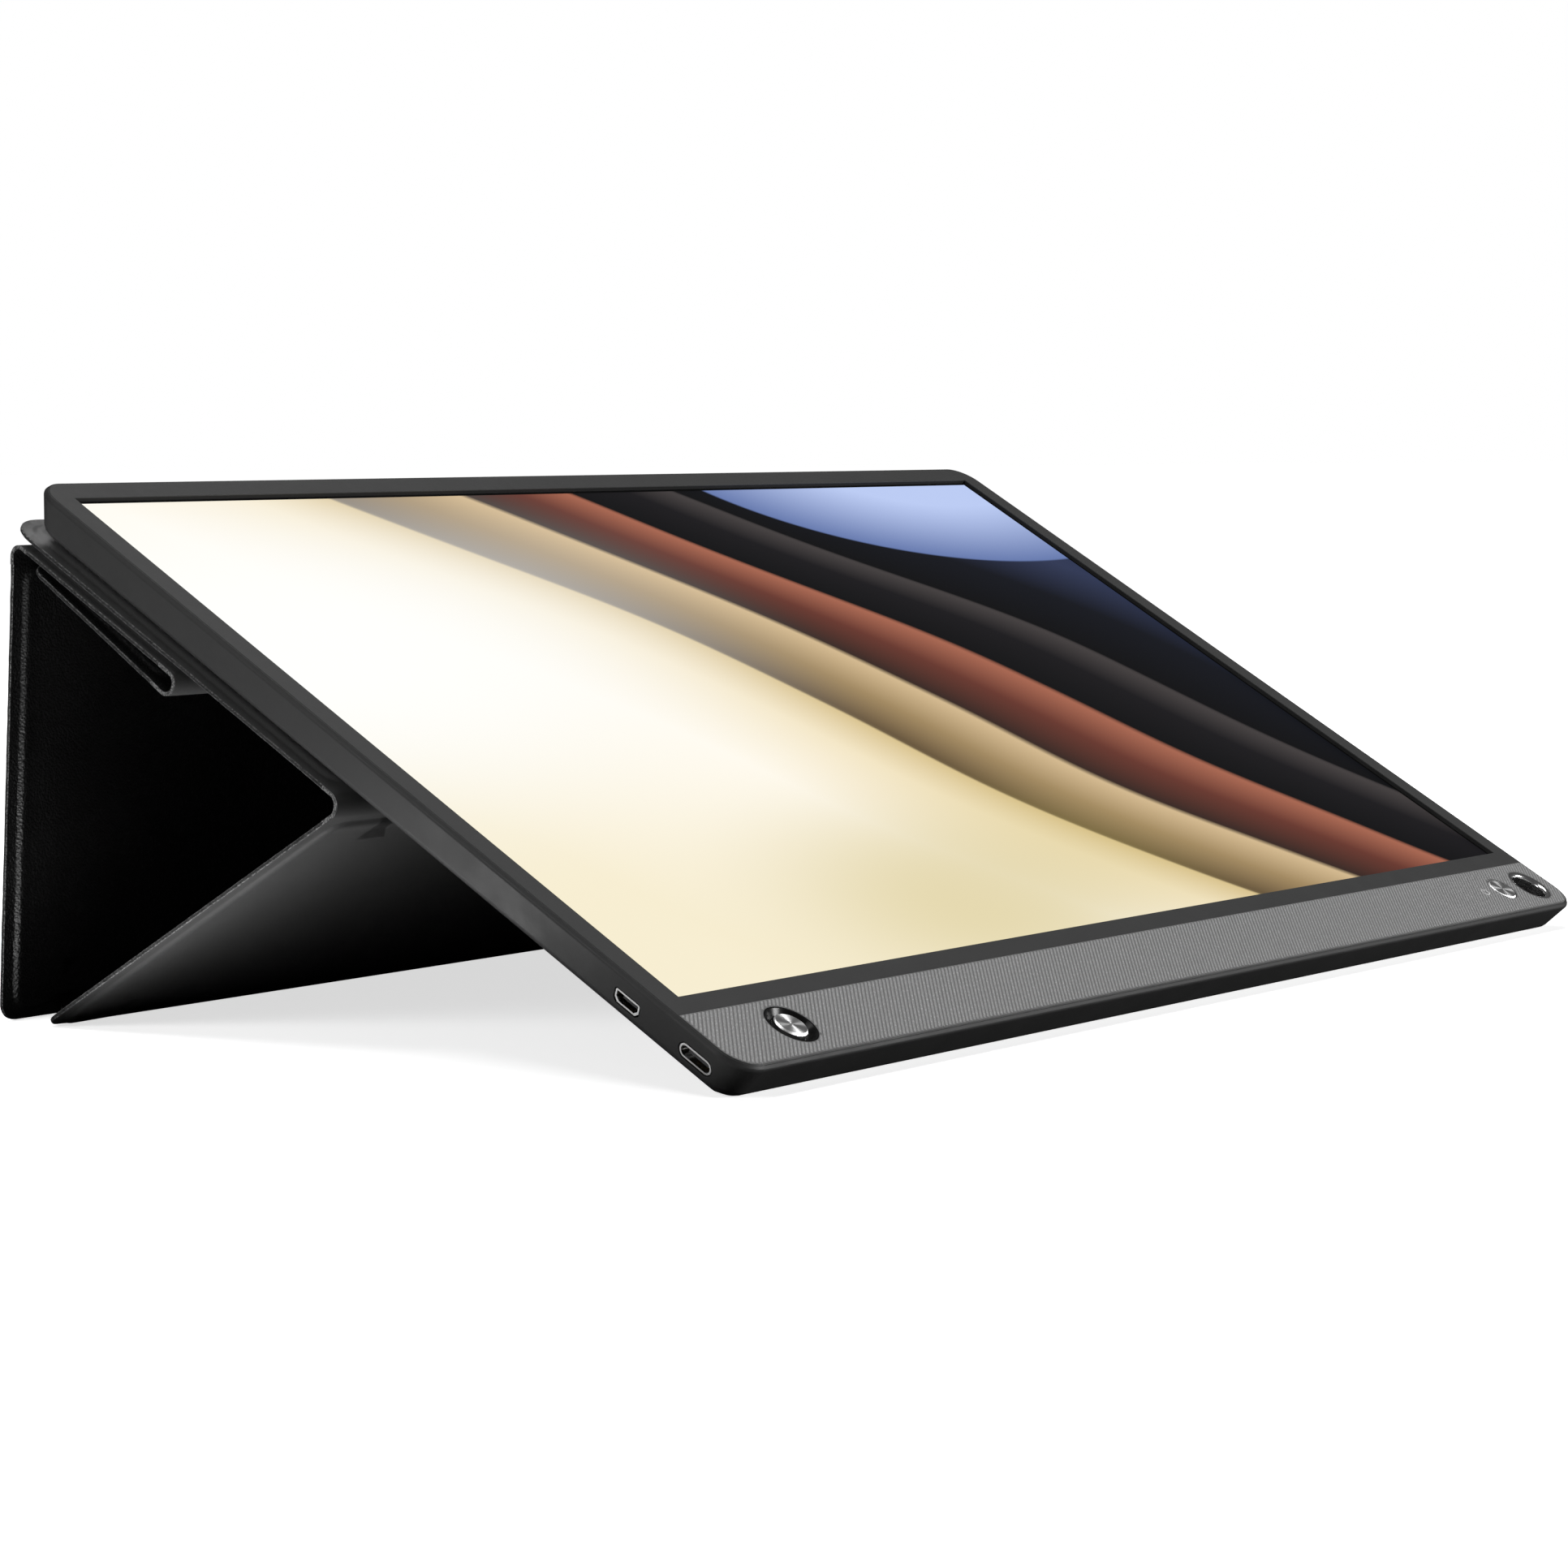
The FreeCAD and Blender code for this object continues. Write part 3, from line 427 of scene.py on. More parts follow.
def frayed_edge(name, dark, pale):
    """The cut edge of the case's skins, with pale fibres."""
    made, tree, shader = material(name, Roughness=0.8, Specular_IOR_Level=0.2)
    place = place_socket(tree)
    fibres = speckle(tree, place, 0.35 * MM, 3.0, 0.75)
    share = remap(tree, fibres, 0.44, 0.64, 0.0, 1.0)
    tree.links.new(mix(tree, share, grey(dark), grey(pale)), shader.inputs["Base Color"])
    tree.links.new(bump(tree, fibres, 0.2 * MM), shader.inputs["Normal"])
    return made


def lit_picture(name):
    """A lit screen with a plain abstract picture of soft diagonal bands, and a black border."""
    made, tree, shader = material(name, Base_Color=(0.002, 0.002, 0.002, 1), Roughness=0.32,
                                  Specular_IOR_Level=0.02, Emission_Strength=1.0)
    place = place_socket(tree)
    across = distance_along(tree, place, RIGHT / LIT_WIDTH)
    up = distance_along(tree, place, UP / LIT_HEIGHT)
    up = arithmetic(tree, "SUBTRACT", up, SCREEN_UP / LIT_HEIGHT)
    flat = add(tree, "ShaderNodeCombineXYZ", {"X": across, "Y": up}).outputs[0]

    def glow(centre_across, centre_up, size):
        """One at a point of the picture, fading to zero."""
        away = add(tree, "ShaderNodeVectorMath", {0: flat, 1: (centre_across, centre_up, 0)},
                   operation="DISTANCE").outputs["Value"]
        node = add(tree, "ShaderNodeMapRange", {"Value": away, "From Min": 0.0, "From Max": size,
                                                "To Min": 1.0, "To Max": 0.0},
                   interpolation_type="SMOOTHERSTEP")
        return node.outputs["Result"]

    bend = speckle(tree, flat, 0.9, 1.0)
    slant = arithmetic(tree, "MULTIPLY_ADD", up, 0.42)
    slant.node.inputs[2].default_value = 0.5
    sweep = arithmetic(tree, "ADD", arithmetic(tree, "MULTIPLY", across, 0.86), slant)
    sweep = arithmetic(tree, "ADD", sweep, arithmetic(tree, "MULTIPLY", bend, 0.22))
    sweep = arithmetic(tree, "SUBTRACT", sweep, 0.11)
    colours = ramp(tree, sweep, PICTURE_BANDS)
    colours = mix(tree, arithmetic(tree, "MULTIPLY", glow(-0.12, -0.42, 0.34), 0.55),
                  colours, (0.62, 0.50, 0.14))
    colours = mix(tree, glow(-0.46, 0.18, 0.56), colours, (1.0, 1.0, 0.98))
    disc = glow(0.46, 0.62, 0.50)
    disc_edge = remap(tree, disc, 0.20, 0.212, 0.0, 1.0)
    disc_shade = mix(tree, remap(tree, disc, 0.2, 0.75, 0.0, 1.0), (0.13, 0.19, 0.42), (0.50, 0.60, 0.90))
    colours = mix(tree, disc_edge, colours, disc_shade)
    inside = arithmetic(tree, "MULTIPLY",
                        arithmetic(tree, "LESS_THAN", arithmetic(tree, "ABSOLUTE", across), 0.5),
                        arithmetic(tree, "LESS_THAN", arithmetic(tree, "ABSOLUTE", up), 0.5))
    tree.links.new(mix(tree, inside, (0, 0, 0), colours), shader.inputs["Emission Color"])
    return made


FINISHES = {
    "bezel_plastic": black_print_and_recess_shade("bezel_finish", grey(0.030), grey(0.036), 0.52, 0.22 * MM, 0.012 * MM,
                               Specular_IOR_Level=0.15),
    "cover_plastic": moulded("cover_finish", grey(0.018), grey(0.022), 0.50, 0.22 * MM, 0.014 * MM,
                              Specular_IOR_Level=0.2),
    "trim_plastic": woven_trim("trim_finish", 0.090, 0.105, 0.17),
    "screen_glass": lit_picture("screen_finish"),
    "clear_film": moulded("film_finish", grey(0.62), grey(0.72), 0.25, 0.5 * MM, 0.005 * MM),
    "white_film": moulded("reflector_finish", grey(0.80), grey(0.88), 0.50, 0.5 * MM, 0.005 * MM),
    "tray_steel": plated("tray_finish", grey(0.42), grey(0.52), 0.38, 0.6 * MM, 0.01 * MM),
    "circuit_board": moulded("board_finish", (0.008, 0.055, 0.022), (0.012, 0.085, 0.035), 0.42,
                             0.4 * MM, 0.02 * MM),
    "chip_black": moulded("chip_finish", grey(0.012), grey(0.020), 0.55, 0.15 * MM, 0.01 * MM),
    "cable_film": moulded("cable_finish", (0.34, 0.15, 0.035), (0.44, 0.20, 0.05), 0.35,
                          0.5 * MM, 0.01 * MM),
    "battery_foil": plated("battery_finish", grey(0.36), grey(0.46), 0.45, 1.2 * MM, 0.03 * MM),
    "port_steel": plated("port_finish", grey(0.72), grey(0.82), 0.22, 0.3 * MM, 0.004 * MM),
    "well_plastic": moulded("well_finish", grey(0.004), grey(0.006), 0.26, 0.3 * MM, 0.002 * MM,
                            Specular_IOR_Level=0.12),
    "button_metal": spun_metal("button_finish", "menu_button_cap", "power_button_cap"),
    "bright_chrome": plated("chrome_finish", grey(0.50), grey(0.58), 0.20, 0.5 * MM, 0.002 * MM),
    "screw_steel": plated("screw_finish", grey(0.30), grey(0.40), 0.36, 0.3 * MM, 0.006 * MM),
    "magnet_plating": plated("magnet_finish", grey(0.55), grey(0.65), 0.28, 0.6 * MM, 0.006 * MM),
    "case_leather": grained_leather("leather_finish"),
    "case_lining": soft_lining("lining_finish"),
    "case_board": moulded("board_core_finish", (0.16, 0.13, 0.09), (0.22, 0.18, 0.12), 0.80,
                          0.6 * MM, 0.04 * MM),
}
CUT_FINISH = frayed_edge("cut_edge_finish", 0.02, 0.22)
CORE_FINISH = frayed_edge("cut_core_finish", 0.006, 0.05)
CONTACT_FINISH = plated("contact_finish", (0.62, 0.42, 0.15), (0.72, 0.50, 0.20), 0.25,
                        0.2 * MM, 0.002 * MM)
# The ribs take a lighter copy of the strip's finish: painted highlight on their crests against the darker
# grooves between them.
RIB_HIGHLIGHT_FINISH = woven_trim("rib_highlight_finish", 0.185, 0.205, 0.38)
MARK_FINISH = moulded("mark_finish", grey(0.60), grey(0.68), 0.45, 0.2 * MM, 0.003 * MM)

for node in nodes.values():
    for slot in node.material_slots:
        slot.material = FINISHES[slot.material.name]


# Meshes

def piece(name, vertices, faces, finishes, finish_of_face=None):
    """A new object from plain faces, with its hard edges kept sharp."""
    mesh = bpy.data.meshes.new(name)
    mesh.from_pydata(vertices, [], faces)
    if finish_of_face:
        mesh.polygons.foreach_set("material_index", finish_of_face)
    turned = bmesh.new()
    turned.from_mesh(mesh)
    bmesh.ops.recalc_face_normals(turned, faces=turned.faces)
    turned.to_mesh(mesh)
    turned.free()
    for finish in finishes:
        mesh.materials.append(finish)
    mesh.shade_smooth()
    mesh.set_sharp_from_angle(angle=SMOOTH_LIMIT)
    made = bpy.data.objects.new(name, mesh)
    bpy.context.scene.collection.objects.link(made)
    return made


def add_block(vertices, faces, corner, *edges):
    """Appends a box that starts at a corner and runs along three edges."""
    first = len(vertices)
    for third in (0, 1):
        for second in (0, 1):
            for initial in (0, 1):
                vertices.append(corner + edges[0] * initial + edges[1] * second + edges[2] * third)
    quads = ((0, 1, 3, 2), (4, 5, 7, 6), (0, 1, 5, 4), (2, 3, 7, 6), (0, 2, 6, 4), (1, 3, 7, 5))
    faces.extend([tuple(first + corner_index for corner_index in quad) for quad in quads])


# The ribbed strip

def trim_holes():
    """The middles and radii of the holes in the strip, measured on its edges."""
    pen_place = Vector(mounts["pen_hole"]["pos_m"])
    caps = ("menu_button_cap", "power_button_cap")
    middles = [Vector((middle(cap, RIGHT), middle(cap, UP))) for cap in caps]
    middles.append(Vector((pen_place.dot(RIGHT), pen_place.dot(UP))))
    flat = [Vector((point.dot(RIGHT), point.dot(UP))) for point in points_of("chin_trim")]
    return [(centre, min((point - centre).length for point in flat)) for centre in middles]


def make_ribs():
    """Half-round ribs across the whole strip, stopped at its edges and holes."""
    half = reach("chin_trim", RIGHT)[1]
    low, high = reach("chin_trim", UP)
    holes = trim_holes()

    def covered(across, up):
        """Whether a rib may pass here."""
        if abs(across) > half - RIB_MARGIN or not low + RIB_MARGIN < up < high - RIB_MARGIN:
            return False
        into = Vector((abs(across) - half + TRIM_CORNER, low + TRIM_CORNER - up))
        if min(into) > 0 and into.length > TRIM_CORNER - RIB_MARGIN:
            return False
        here = Vector((across, up))
        return all((here - centre).length > radius + RIB_MARGIN for centre, radius in holes)

    turns = [math.pi * step / RIB_SIDES for step in range(RIB_SIDES + 1)]
    profile = [(math.cos(turn), math.sin(turn)) for turn in turns]
    wide = len(profile)
    vertices = []
    faces = []

    def add_rib(across, start, end):
        first = len(vertices)
        for along in (start, end):
            for side, rise in profile:
                vertices.append(RIB_ALONG * along + RIB_ACROSS * (across + side * RIB_WIDTH / 2)
                                + OUT * (FRONT + rise * RIB_HEIGHT))
        for step in range(wide - 1):
            faces.append((first + step, first + step + 1, first + wide + step + 1, first + wide + step))
        faces.append((first, first + wide, first + 2 * wide - 1, first + wide - 1))
        faces.append(tuple(first + step for step in range(wide)))
        faces.append(tuple(first + wide + step for step in range(wide)))

    steps = int((high - low) / math.sin(RIB_SLANT) / RIB_TRACE)
    left = -half - (high - low)
    lines = int((2 * half + (high - low)) * math.sin(RIB_SLANT) / RIB_PITCH) + 1
    for line in range(lines):
        foot = RIGHT * (left + line * RIB_PITCH / math.sin(RIB_SLANT)) + UP * low
        start = None
        for step in range(steps + 1):
            here = foot + RIB_ALONG * (step * RIB_TRACE)
            inside = step < steps and covered(here.dot(RIGHT), here.dot(UP))
            if inside and start is None:
                start = here.dot(RIB_ALONG)
            if not inside and start is not None:
                end = here.dot(RIB_ALONG) - RIB_TRACE
                if end - start > RIB_LEAST:
                    add_rib(foot.dot(RIB_ACROSS), start, end)
                start = None
    ribs = piece("chin_trim_ribs", vertices, faces, [RIB_HIGHLIGHT_FINISH])
    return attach(ribs, "monitor")


def make_power_mark():
    """A ring with a gap and a bar, over the light pipe."""
    centre = RIGHT * middle("power_light_pipe", RIGHT) + UP * middle("power_light_pipe", UP)
    base = centre + OUT * (FRONT + RIB_HEIGHT - MARK_HEIGHT)
    vertices = []
    faces = []
    for step in range(MARK_STEPS + 1):
        turn = math.pi / 2 + MARK_GAP + (2 * math.pi - 2 * MARK_GAP) * step / MARK_STEPS
        ray = RIGHT * math.cos(turn) + UP * math.sin(turn)
        for radius in (MARK_RADIUS - MARK_LINE / 2, MARK_RADIUS + MARK_LINE / 2):
            for height in (0, 2 * MARK_HEIGHT):
                vertices.append(base + ray * radius + OUT * height)
    for step in range(MARK_STEPS):
        a = 4 * step
        b = a + 4
        faces.extend([(a, a + 1, b + 1, b), (a + 1, a + 3, b + 3, b + 1),
                      (a + 3, a + 2, b + 2, b + 3), (a + 2, a, b, b + 2)])
    faces.extend([(0, 1, 3, 2), tuple(4 * MARK_STEPS + corner for corner in (0, 1, 3, 2))])
    add_block(vertices, faces, base - RIGHT * MARK_LINE / 2 + UP * MARK_BAR_START,
              RIGHT * MARK_LINE, UP * MARK_RADIUS, OUT * 2 * MARK_HEIGHT)
    mark = piece("power_mark", vertices, faces, [MARK_FINISH])
    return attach(mark, "monitor")


def make_contacts(port):
    """A row of plated strips on both faces of a socket's tongue."""
    tongue = port + "_tongue"
    start = reach(tongue, RIGHT)[0] + CONTACT_SETBACK
    low, high = reach(tongue, UP)
    under, over = reach(tongue, OUT)
    count = CONTACT_COUNT[port]
    pitch = (high - low) / (count + 1)
    vertices = []
    faces = []
    for index in range(count):
        up = low + pitch * (index + 1) - CONTACT_WIDTH / 2
        for height in (over, under - CONTACT_HEIGHT):
            corner = RIGHT * start + UP * up + OUT * height
            add_block(vertices, faces, corner, RIGHT * CONTACT_LENGTH, UP * CONTACT_WIDTH,
                      OUT * CONTACT_HEIGHT)
    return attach(piece(port + "_contacts", vertices, faces, [CONTACT_FINISH]), "monitor")


# The folding case

class Panel:
    """One stiffened panel of the case: its directions and edges, measured on its nodes."""

    def __init__(self, name, body, free, corners):
        self.name = name
        self.body = body
        self.free = free
        self.corners = corners
        board = name + "_panel_board"
        leather = name + "_panel_leather"
        widest = max(nodes[board].data.polygons, key=lambda face: face.area)
        normal = widest.normal.copy()
        if middle(leather, normal) < middle(name + "_panel_lining", normal):
            normal = -normal
        self.normal = normal
        self.heading = normal.cross(RIGHT)
        self.level = middle(board, normal)
        self.rise = reach(leather, normal)[1] - self.level - SKIN
        self.half = reach(leather, RIGHT)[1]
        self.board_half = reach(board, RIGHT)[1]
        self.board_low, self.board_high = reach(board, self.heading)
        self.low, self.high = reach(leather, self.heading)
        hem = self.half - self.board_half
        self.start = self.board_low - hem
        self.end = self.board_high + hem
        self.ridge_low = self.board_low - (0 if free[0] else FOLD_REACH)
        self.ridge_high = self.board_high + (0 if free[1] else FOLD_REACH)


class Spine:
    """The flat strip on the floor between the two lower folds."""

    def __init__(self):
        self.body = "spine"
        self.normal = Vector((0, 0, 1))
        self.heading = self.normal.cross(RIGHT)
        self.level = reach("spine_leather", self.normal)[0]
        self.start, self.end = reach("spine_leather", self.heading)
        self.half = reach("spine_leather", RIGHT)[1]


def wobble(place, layer):
    """The uneven trimming of a cut edge: slow waves and quick fibres."""
    slow = noise.noise(place * SLOW_WAVES + Vector((0, 0, SLOW_OFFSET * layer)))
    quick = noise.noise(place * QUICK_WAVES + Vector((0, 0, QUICK_OFFSET * layer)))
    return slow * SLOW_WOBBLE + quick * QUICK_WOBBLE


def ring_stations(panel):
    """Which side or corner each point of a ring lies on, and how far along it."""
    long_count = int(2 * panel.half / STATION_PITCH)
    short_count = int((panel.high - panel.low) / STATION_PITCH)
    stations = []
    for side in range(8):
        count = CORNER_STATIONS if side % 2 else (short_count if side % 4 == 2 else long_count)
        stations.extend([(side, step / count) for step in range(count)])
    return stations


def ring(stations, half, low, high, low_corner, high_corner):
    """A closed round-cornered outline as (across, along) pairs, counterclockwise."""
    outline = []
    for side, share in stations:
        corner = high_corner if side in (3, 4, 5) else low_corner
        inner = half - corner
        if side % 2:
            turn = math.pi / 2 * ((side - 1) // 2 - 1 + share)
            middle_across = inner if side in (1, 3) else -inner
            middle_along = high - corner if side in (3, 5) else low + corner
            outline.append((middle_across + corner * math.cos(turn), middle_along + corner * math.sin(turn)))
        elif side % 4 == 0:
            across = inner * (2 * share - 1) * (1 if side == 0 else -1)
            outline.append((across, low if side == 0 else high))
        else:
            bottom, top = low + low_corner, high - high_corner
            along = bottom + (top - bottom) * (share if side == 2 else 1 - share)
            outline.append((half if side == 2 else -half, along))
    return outline


def ear_lengths(panel):
    """How far the panel reaches past its folds beside the narrower spine, at its low and high end."""
    lengths = (panel.start - panel.low, panel.high - panel.end)
    return [length if length > SKIN / 2 else 0.0 for length in lengths]


def ear_edges(panel, stations):
    """Where the two points at each ear's inner edge stand across, by their place in the ring."""
    outline = ring(stations, panel.half, panel.start, panel.end, *panel.corners)
    edges = {}
    for index in range(len(stations) - 1):
        inner, outer = sorted((index, index + 1), key=lambda step: abs(outline[step][0]))
        crosses = abs(outline[inner][0]) <= spine.half < abs(outline[outer][0])
        if crosses and stations[index][0] in (0, 4):
            edges[inner] = math.copysign(spine.half + EAR_GAP / 3, outline[inner][0])
            edges[outer] = math.copysign(spine.half + EAR_GAP, outline[outer][0])
    return edges


def cut_outline(panel, stations, inset, layer):
    """The panel's own cut edge, with its short ears beside the spine and its uneven trimming."""
    low_ear, high_ear = ear_lengths(panel)
    edges = ear_edges(panel, stations)
    low_inset = inset if panel.free[0] else 0
    high_inset = inset if panel.free[1] else 0
    outline = ring(stations, panel.half - inset, panel.start + low_inset, panel.end - high_inset,
                   *panel.corners)
    placed = []
    for index, ((side, share), (across, along)) in enumerate(zip(stations, outline)):
        across = edges.get(index, across)
        outside = abs(across) > spine.half + EAR_GAP / 2
        if outside and side in (7, 0, 1):
            along -= low_ear
        if outside and side in (3, 4, 5):
            along += high_ear
        here = RIGHT * across + panel.heading * along + panel.normal * panel.level
        shift = wobble(here, layer)
        if side not in (0, 4):
            across += math.copysign(shift, across)
        if side == 0 and panel.free[0]:
            along -= shift
        if side == 4 and panel.free[1]:
            along += shift
        placed.append((across, along))
    return placed


def make_skin(panel, skin, layer):
    """One skin of a panel: a cut hem, a rounded ridge over the board's edge and a flat face."""
    outward = 1 if skin == "leather" else -1
    stations = ring_stations(panel)
    low_ear, high_ear = ear_lengths(panel)
    edges = ear_edges(panel, stations)
    count = len(stations)
    rings = []

    def cut_ring(inset, height):
        outline = cut_outline(panel, stations, inset, layer)
        rings.append((outline, height))

    def board_ring(grow, height):
        outline = ring(stations, panel.board_half + grow, panel.ridge_low - grow, panel.ridge_high + grow,
                       max(RIDGE_CORNER + grow, FOLD_CORNER), max(RIDGE_CORNER + grow, FOLD_CORNER))
        placed = []
        for index, ((side, share), (across, along)) in enumerate(zip(stations, outline)):
            across = edges.get(index, across)
            beside = (abs(across) - spine.half) / EAR_BLEND
            beside = EAR_RIDGE * min(max(beside, 0.0), 1.0)
            if side in (7, 0, 1):
                along -= low_ear * beside
            if side in (3, 4, 5):
                along += high_ear * beside
            placed.append((across, along))
        rings.append((placed, height))

    board_ring(-UNDER_INSET, panel.rise)
    board_ring(UNDER_REACH, 0.0)
    cut_ring(0.0, 0.0)
    cut_ring(0.0, CUT_SHOULDER)
    cut_ring(CUT_ROUNDING, SKIN)
    for grow, share in RIDGE_STEPS:
        crown = share * (1 + RIDGE_SWELL[skin]) if grow > 0 else 1 + share * RIDGE_SWELL[skin]
        spread = RIDGE_SPREAD[skin] if grow > 0 else 1.0
        board_ring(grow * spread * MM, SKIN + crown * panel.rise)
    vertices = []
    for outline, height in rings:
        for across, along in outline:
            vertices.append(RIGHT * across + panel.heading * along
                            + panel.normal * (panel.level + outward * height))
    faces = []
    finish_of_face = []
    core_ring = 2
    pale_ring = 3
    for level in range(len(rings) - 1):
        for index in range(count):
            after = (index + 1) % count
            faces.append((level * count + index, level * count + after,
                          (level + 1) * count + after, (level + 1) * count + index))
            side = stations[index][0]
            folded = (side == 0 and not panel.free[0]) or (side == 4 and not panel.free[1])
            finish = {core_ring: 1, pale_ring: 2}.get(level, 0)
            finish_of_face.append(0 if folded else finish)
    faces.append(tuple(range(count)))
    faces.append(tuple((len(rings) - 1) * count + index for index in range(count)))
    finish_of_face.extend([0, 0])
    node = panel.name + "_panel_" + skin
    finishes = [FINISHES["case_" + skin], CORE_FINISH, CUT_FINISH]
    made = piece(node + "_skin", vertices, faces, finishes, finish_of_face)
    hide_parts(node)
    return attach(made, panel.body)


def strip_mesh(name, path, half):
    """A two-sided strip along a path of (place, normal) pairs: leather, lining and cut ends."""
    columns = int(2 * half / FOLD_STATION_PITCH)
    vertices = []
    for step, (place, normal) in enumerate(path):
        swell = math.sin(math.pi * step / (len(path) - 1))
        for column in range(columns + 1):
            across = half * (2 * column / columns - 1)
            here = place + RIGHT * across
            ripple = CREASE * swell * noise.noise(here * CREASE_WAVES)
            for layer, side in ((1, 1), (2, -1)):
                shift = -abs(wobble(here, layer)) if column in (0, columns) else 0.0
                vertices.append(here + RIGHT * math.copysign(shift, across)
                                + normal * (side * SKIN + ripple))
    row = 2 * (columns + 1)
    faces = []
    finish_of_face = []
    for step in range(len(path) - 1):
        for column in range(columns):
            for side in (0, 1):
                a = step * row + 2 * column + side
                faces.append((a, a + 2, a + row + 2, a + row))
                finish_of_face.append(side)
        for column in (0, columns):
            a = step * row + 2 * column
            faces.append((a, a + 1, a + row + 1, a + row))
            finish_of_face.append(2)
    for step in (0, len(path) - 1):
        for column in range(columns):
            a = step * row + 2 * column
            faces.append((a, a + 1, a + 3, a + 2))
            finish_of_face.append(0)
    finishes = [FINISHES["case_leather"], FINISHES["case_lining"], CUT_FINISH]
    made = piece(name, vertices, faces, finishes, finish_of_face)
    return made


def straight(part, start, end, steps):
    """Places along a flat stretch of a panel's middle."""
    return [(part.heading * (start + (end - start) * step / steps) + part.normal * part.level, part.normal)
            for step in range(steps + 1)]


def make_fold(joint_name, before, after):
    """The flexible strip between two parts: a flat lead, an arc about the joint and a flat lead."""
    joint = joints[joint_name]
    node = joint["deforming_nodes"][0]["node"]
    centre = Vector(joint["pos_m"])
    radius = centre.dot(before.normal) - before.level
    turn = before.heading.angle(after.heading)
    if before.heading.cross(after.heading).dot(RIGHT) < 0:
        turn = 2 * math.pi - turn
    arc = []
    for step in range(FOLD_STEPS + 1):
        turned = Matrix.Rotation(turn * step / FOLD_STEPS, 3, "X")
        normal = turned @ before.normal
        arc.append((centre - normal * radius, normal))
    lead_in = straight(before, before.end, centre.dot(before.heading), LEAD_STEPS)
    lead_out = straight(after, centre.dot(after.heading), after.start, LEAD_STEPS)
    strip = strip_mesh(node + "_strip", lead_in[:-1] + arc + lead_out[1:], reach(node, RIGHT)[1])
    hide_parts(node)
    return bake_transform(strip)


spine = Spine()
back = Panel("back", "monitor", (True, False), (BACK_CORNER, FOLD_CORNER))
leg = Panel("leg", "leg", (False, False), (FOLD_CORNER, HEM_CORNER))
prop = Panel("prop", "prop", (False, False), (HEM_CORNER, FOLD_CORNER))
flap = Panel("flap", "flap", (False, False), (FOLD_CORNER, FOLD_CORNER))
tuck = Panel("tuck", "tuck", (False, True), (FOLD_CORNER, HEM_CORNER))

for panel in (back, leg, prop, flap, tuck):
    make_skin(panel, "leather", 1)
    make_skin(panel, "lining", 2)

make_fold("apex_hinge", back, leg)
make_fold("spine_front_hinge", leg, spine)
make_fold("spine_rear_hinge", spine, prop)
make_fold("top_hinge", prop, flap)
make_fold("tuck_hinge", flap, tuck)
sole = strip_mesh("spine_strip", straight(spine, spine.start, spine.end, SOLE_STEPS), spine.half)
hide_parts("spine_leather", "spine_lining")
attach(sole, "spine")

make_ribs()
make_power_mark()
for socket_name in CONTACT_COUNT:
    make_contacts(socket_name)


# Floor, light and camera

def make_floor():
    """A pale floor that throws light on to the left and the front of the part only; for bounced light it is
    near black under and behind the part, painted shade, and for the camera it glows, painted light over the
    part's cast shadow.
    """
    corners = [(across * FLOOR_SIZE, along * FLOOR_SIZE, 0)
               for across, along in ((-1, -1), (1, -1), (1, 1), (-1, 1))]
    mesh = bpy.data.meshes.new("floor")
    mesh.from_pydata(corners, [], [(0, 1, 2, 3)])
    made, tree, shader = material("floor_finish", Roughness=0.9, Specular_IOR_Level=0.0)
    place = place_socket(tree)
    seen = add(tree, "ShaderNodeLightPath").outputs["Is Camera Ray"]
    blotch = speckle(tree, place, FLOOR_BLOTCH, 3.0)
    pale = mix(tree, blotch, grey(FLOOR_LEVEL), grey(FLOOR_LEVEL + FLOOR_VARIATION))
    axes = add(tree, "ShaderNodeSeparateXYZ", {0: place})
    # Bounced light sees a floor that is near black under and behind the part, painted shade, and pale only
    # to its left and front.
    thrown = FLOOR_BOUNCE
    for axis, edge, level in (("X", LEFT_EDGE, LEFT_BOUNCE), ("Y", FRONT_EDGE, FRONT_BOUNCE)):
        beyond = remap(tree, axes.outputs[axis], edge, edge - BOUNCE_BLUR, 0.0, level)
        thrown = arithmetic(tree, "MAXIMUM", thrown, beyond)
    shade = add(tree, "ShaderNodeCombineColor", {"Red": thrown, "Green": thrown, "Blue": thrown})
    tree.links.new(mix(tree, seen, shade.outputs[0], pale), shader.inputs["Base Color"])
    # The floor glows for camera rays only: painted light that lightens the part's cast shadow and rises to
    # white further out.
    away = add(tree, "ShaderNodeVectorMath", {0: place}, operation="LENGTH").outputs["Value"]
    fade = add(tree, "ShaderNodeMapRange", {"Value": away, "From Min": FADE_START, "From Max": FADE_END},
               interpolation_type="SMOOTHSTEP").outputs["Result"]
    glow = arithmetic(tree, "MULTIPLY", remap(tree, fade, 0, 1, FLOOR_GLOW, 1.0), seen)
    tree.links.new(mix(tree, glow, (0, 0, 0), (1, 1, 1)), shader.inputs["Emission Color"])
    shader.inputs["Emission Strength"].default_value = 1.0
    mesh.materials.append(made)
    floor = bpy.data.objects.new("floor", mesh)
    bpy.context.scene.collection.objects.link(floor)


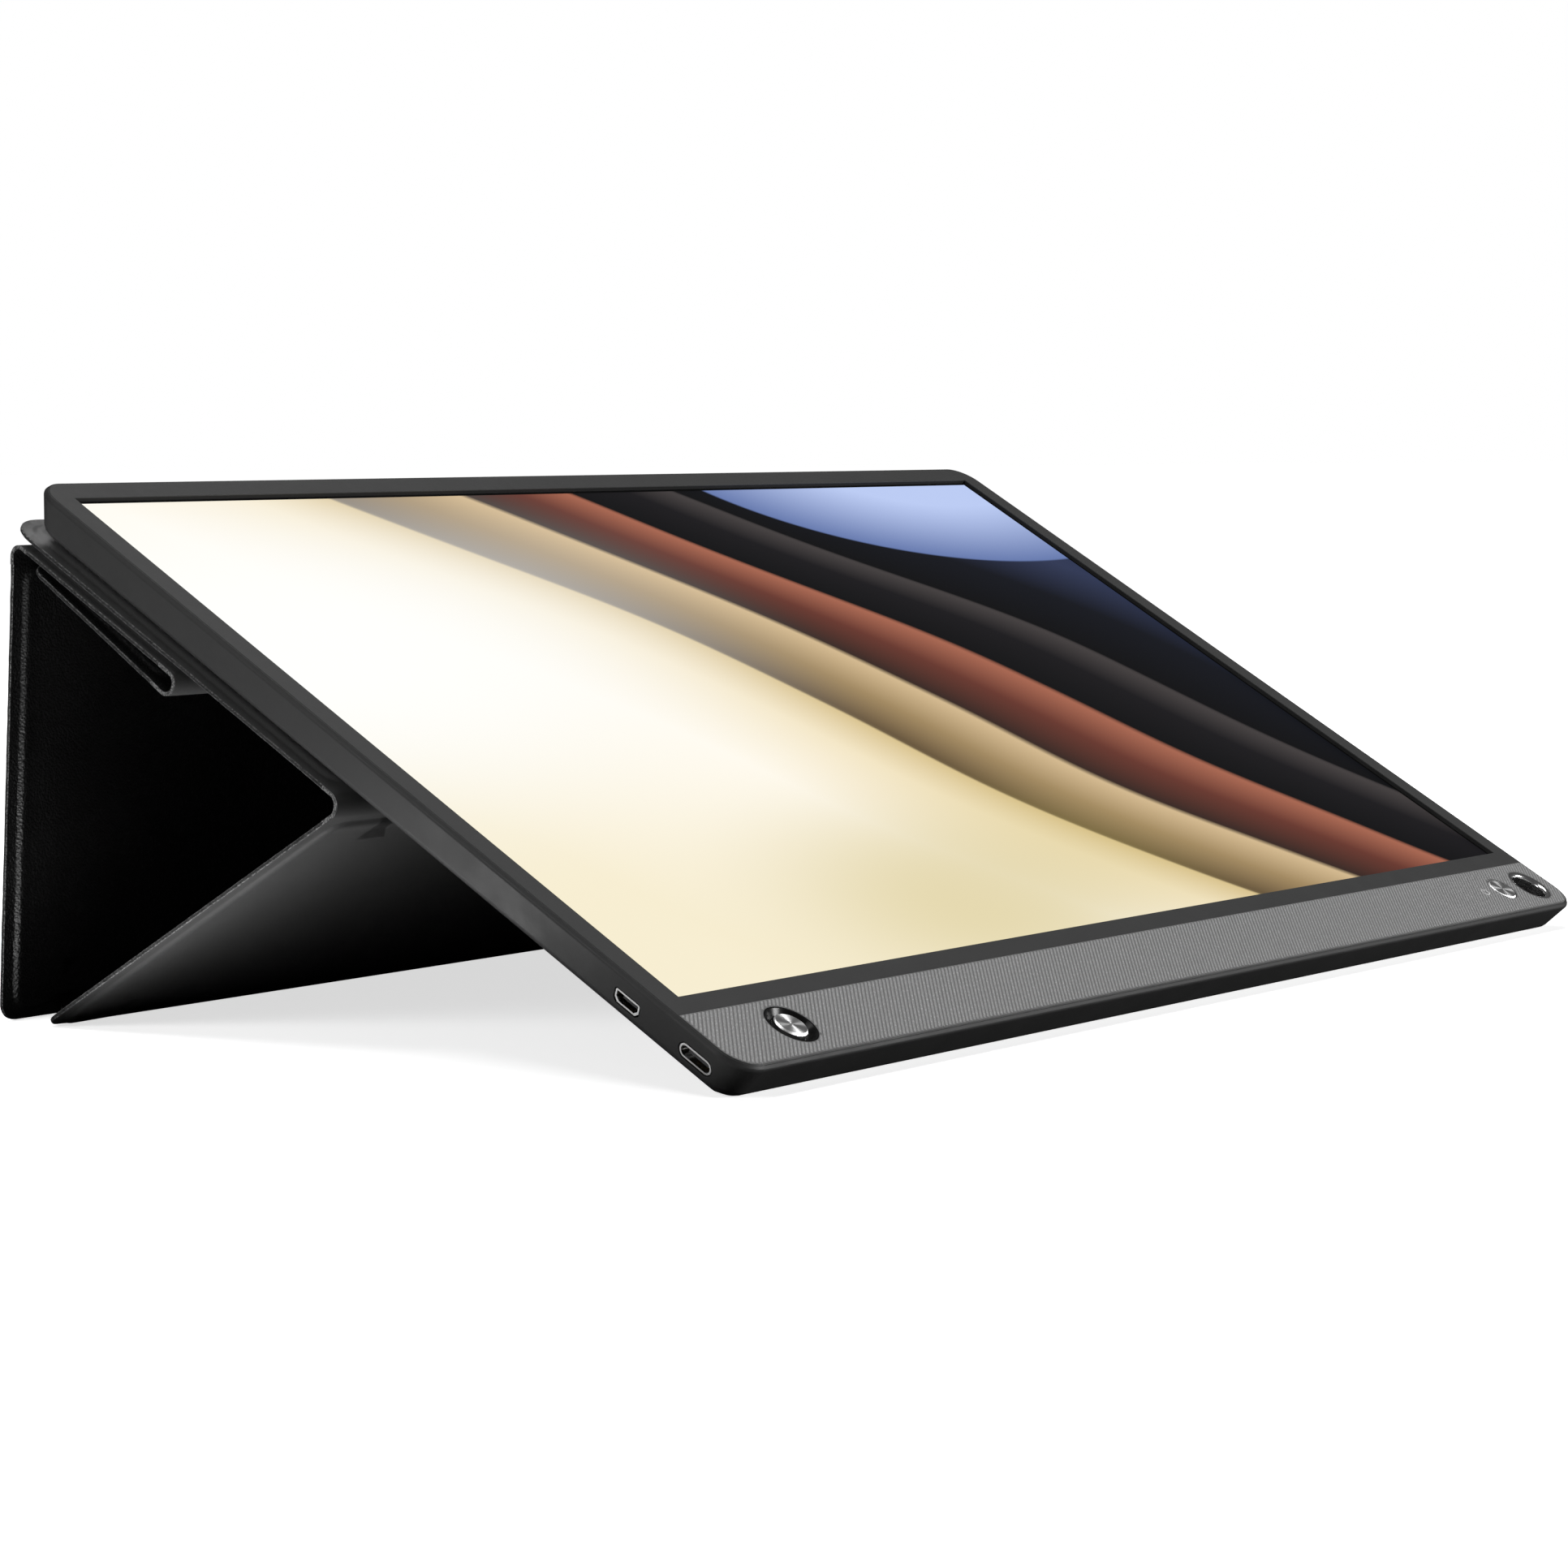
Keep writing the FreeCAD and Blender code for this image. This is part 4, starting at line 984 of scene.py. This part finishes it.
def make_world(fill, gloss, backdrop):
    """A soft even fill, a brighter room for reflections, and a white backdrop behind the floor."""
    world = bpy.data.worlds.new("studio")
    bpy.context.scene.world = world
    world.use_nodes = True
    tree = world.node_tree
    tree.nodes.clear()
    path = add(tree, "ShaderNodeLightPath")
    strength = remap(tree, path.outputs["Is Glossy Ray"], 0, 1, fill, gloss)
    seen = arithmetic(tree, "MULTIPLY", path.outputs["Is Camera Ray"], backdrop)
    strength = arithmetic(tree, "MAXIMUM", strength, seen)
    light = add(tree, "ShaderNodeBackground", {"Color": (1, 1, 1, 1), "Strength": strength})
    output = add(tree, "ShaderNodeOutputWorld")
    tree.links.new(light.outputs[0], output.inputs["Surface"])


def make_softbox(name, place, aim, width, height, power):
    """A rectangular soft light that the camera doesn't see."""
    light = bpy.data.lights.new(name, "AREA")
    light.shape = "RECTANGLE"
    light.size = width
    light.size_y = height
    light.energy = power
    lamp = bpy.data.objects.new(name, light)
    lamp.location = place
    lamp.rotation_mode = "QUATERNION"
    lamp.rotation_quaternion = (Vector(aim) - Vector(place)).to_track_quat("-Z", "Y")
    lamp.visible_camera = False
    bpy.context.scene.collection.objects.link(lamp)


def make_camera():
    """The camera at the photograph's place and angle."""
    camera = bpy.data.cameras.new("camera")
    camera.sensor_width = SENSOR_WIDTH
    camera.lens = SENSOR_WIDTH * FOCAL_PIXELS / PHOTO_WIDTH
    camera.shift_x = SIDE_SHIFT
    camera.clip_start = CLIP_NEAR
    camera.clip_end = CLIP_FAR
    holder = bpy.data.objects.new("camera", camera)
    level = CAMERA_FORWARD.to_track_quat("-Z", "Y").to_matrix()
    tilted = level @ Matrix.Rotation(-CAMERA_ROLL, 3, "Z")
    holder.matrix_world = Matrix.Translation(CAMERA_PLACE) @ tilted.to_4x4()
    bpy.context.scene.collection.objects.link(holder)
    bpy.context.scene.camera = holder


make_floor()
make_world(ROOM_FILL, ROOM_GLOSS, BACKDROP)
for lamp in LAMPS:
    make_softbox(*lamp)
make_camera()
bpy.context.scene.view_settings.view_transform = "Standard"
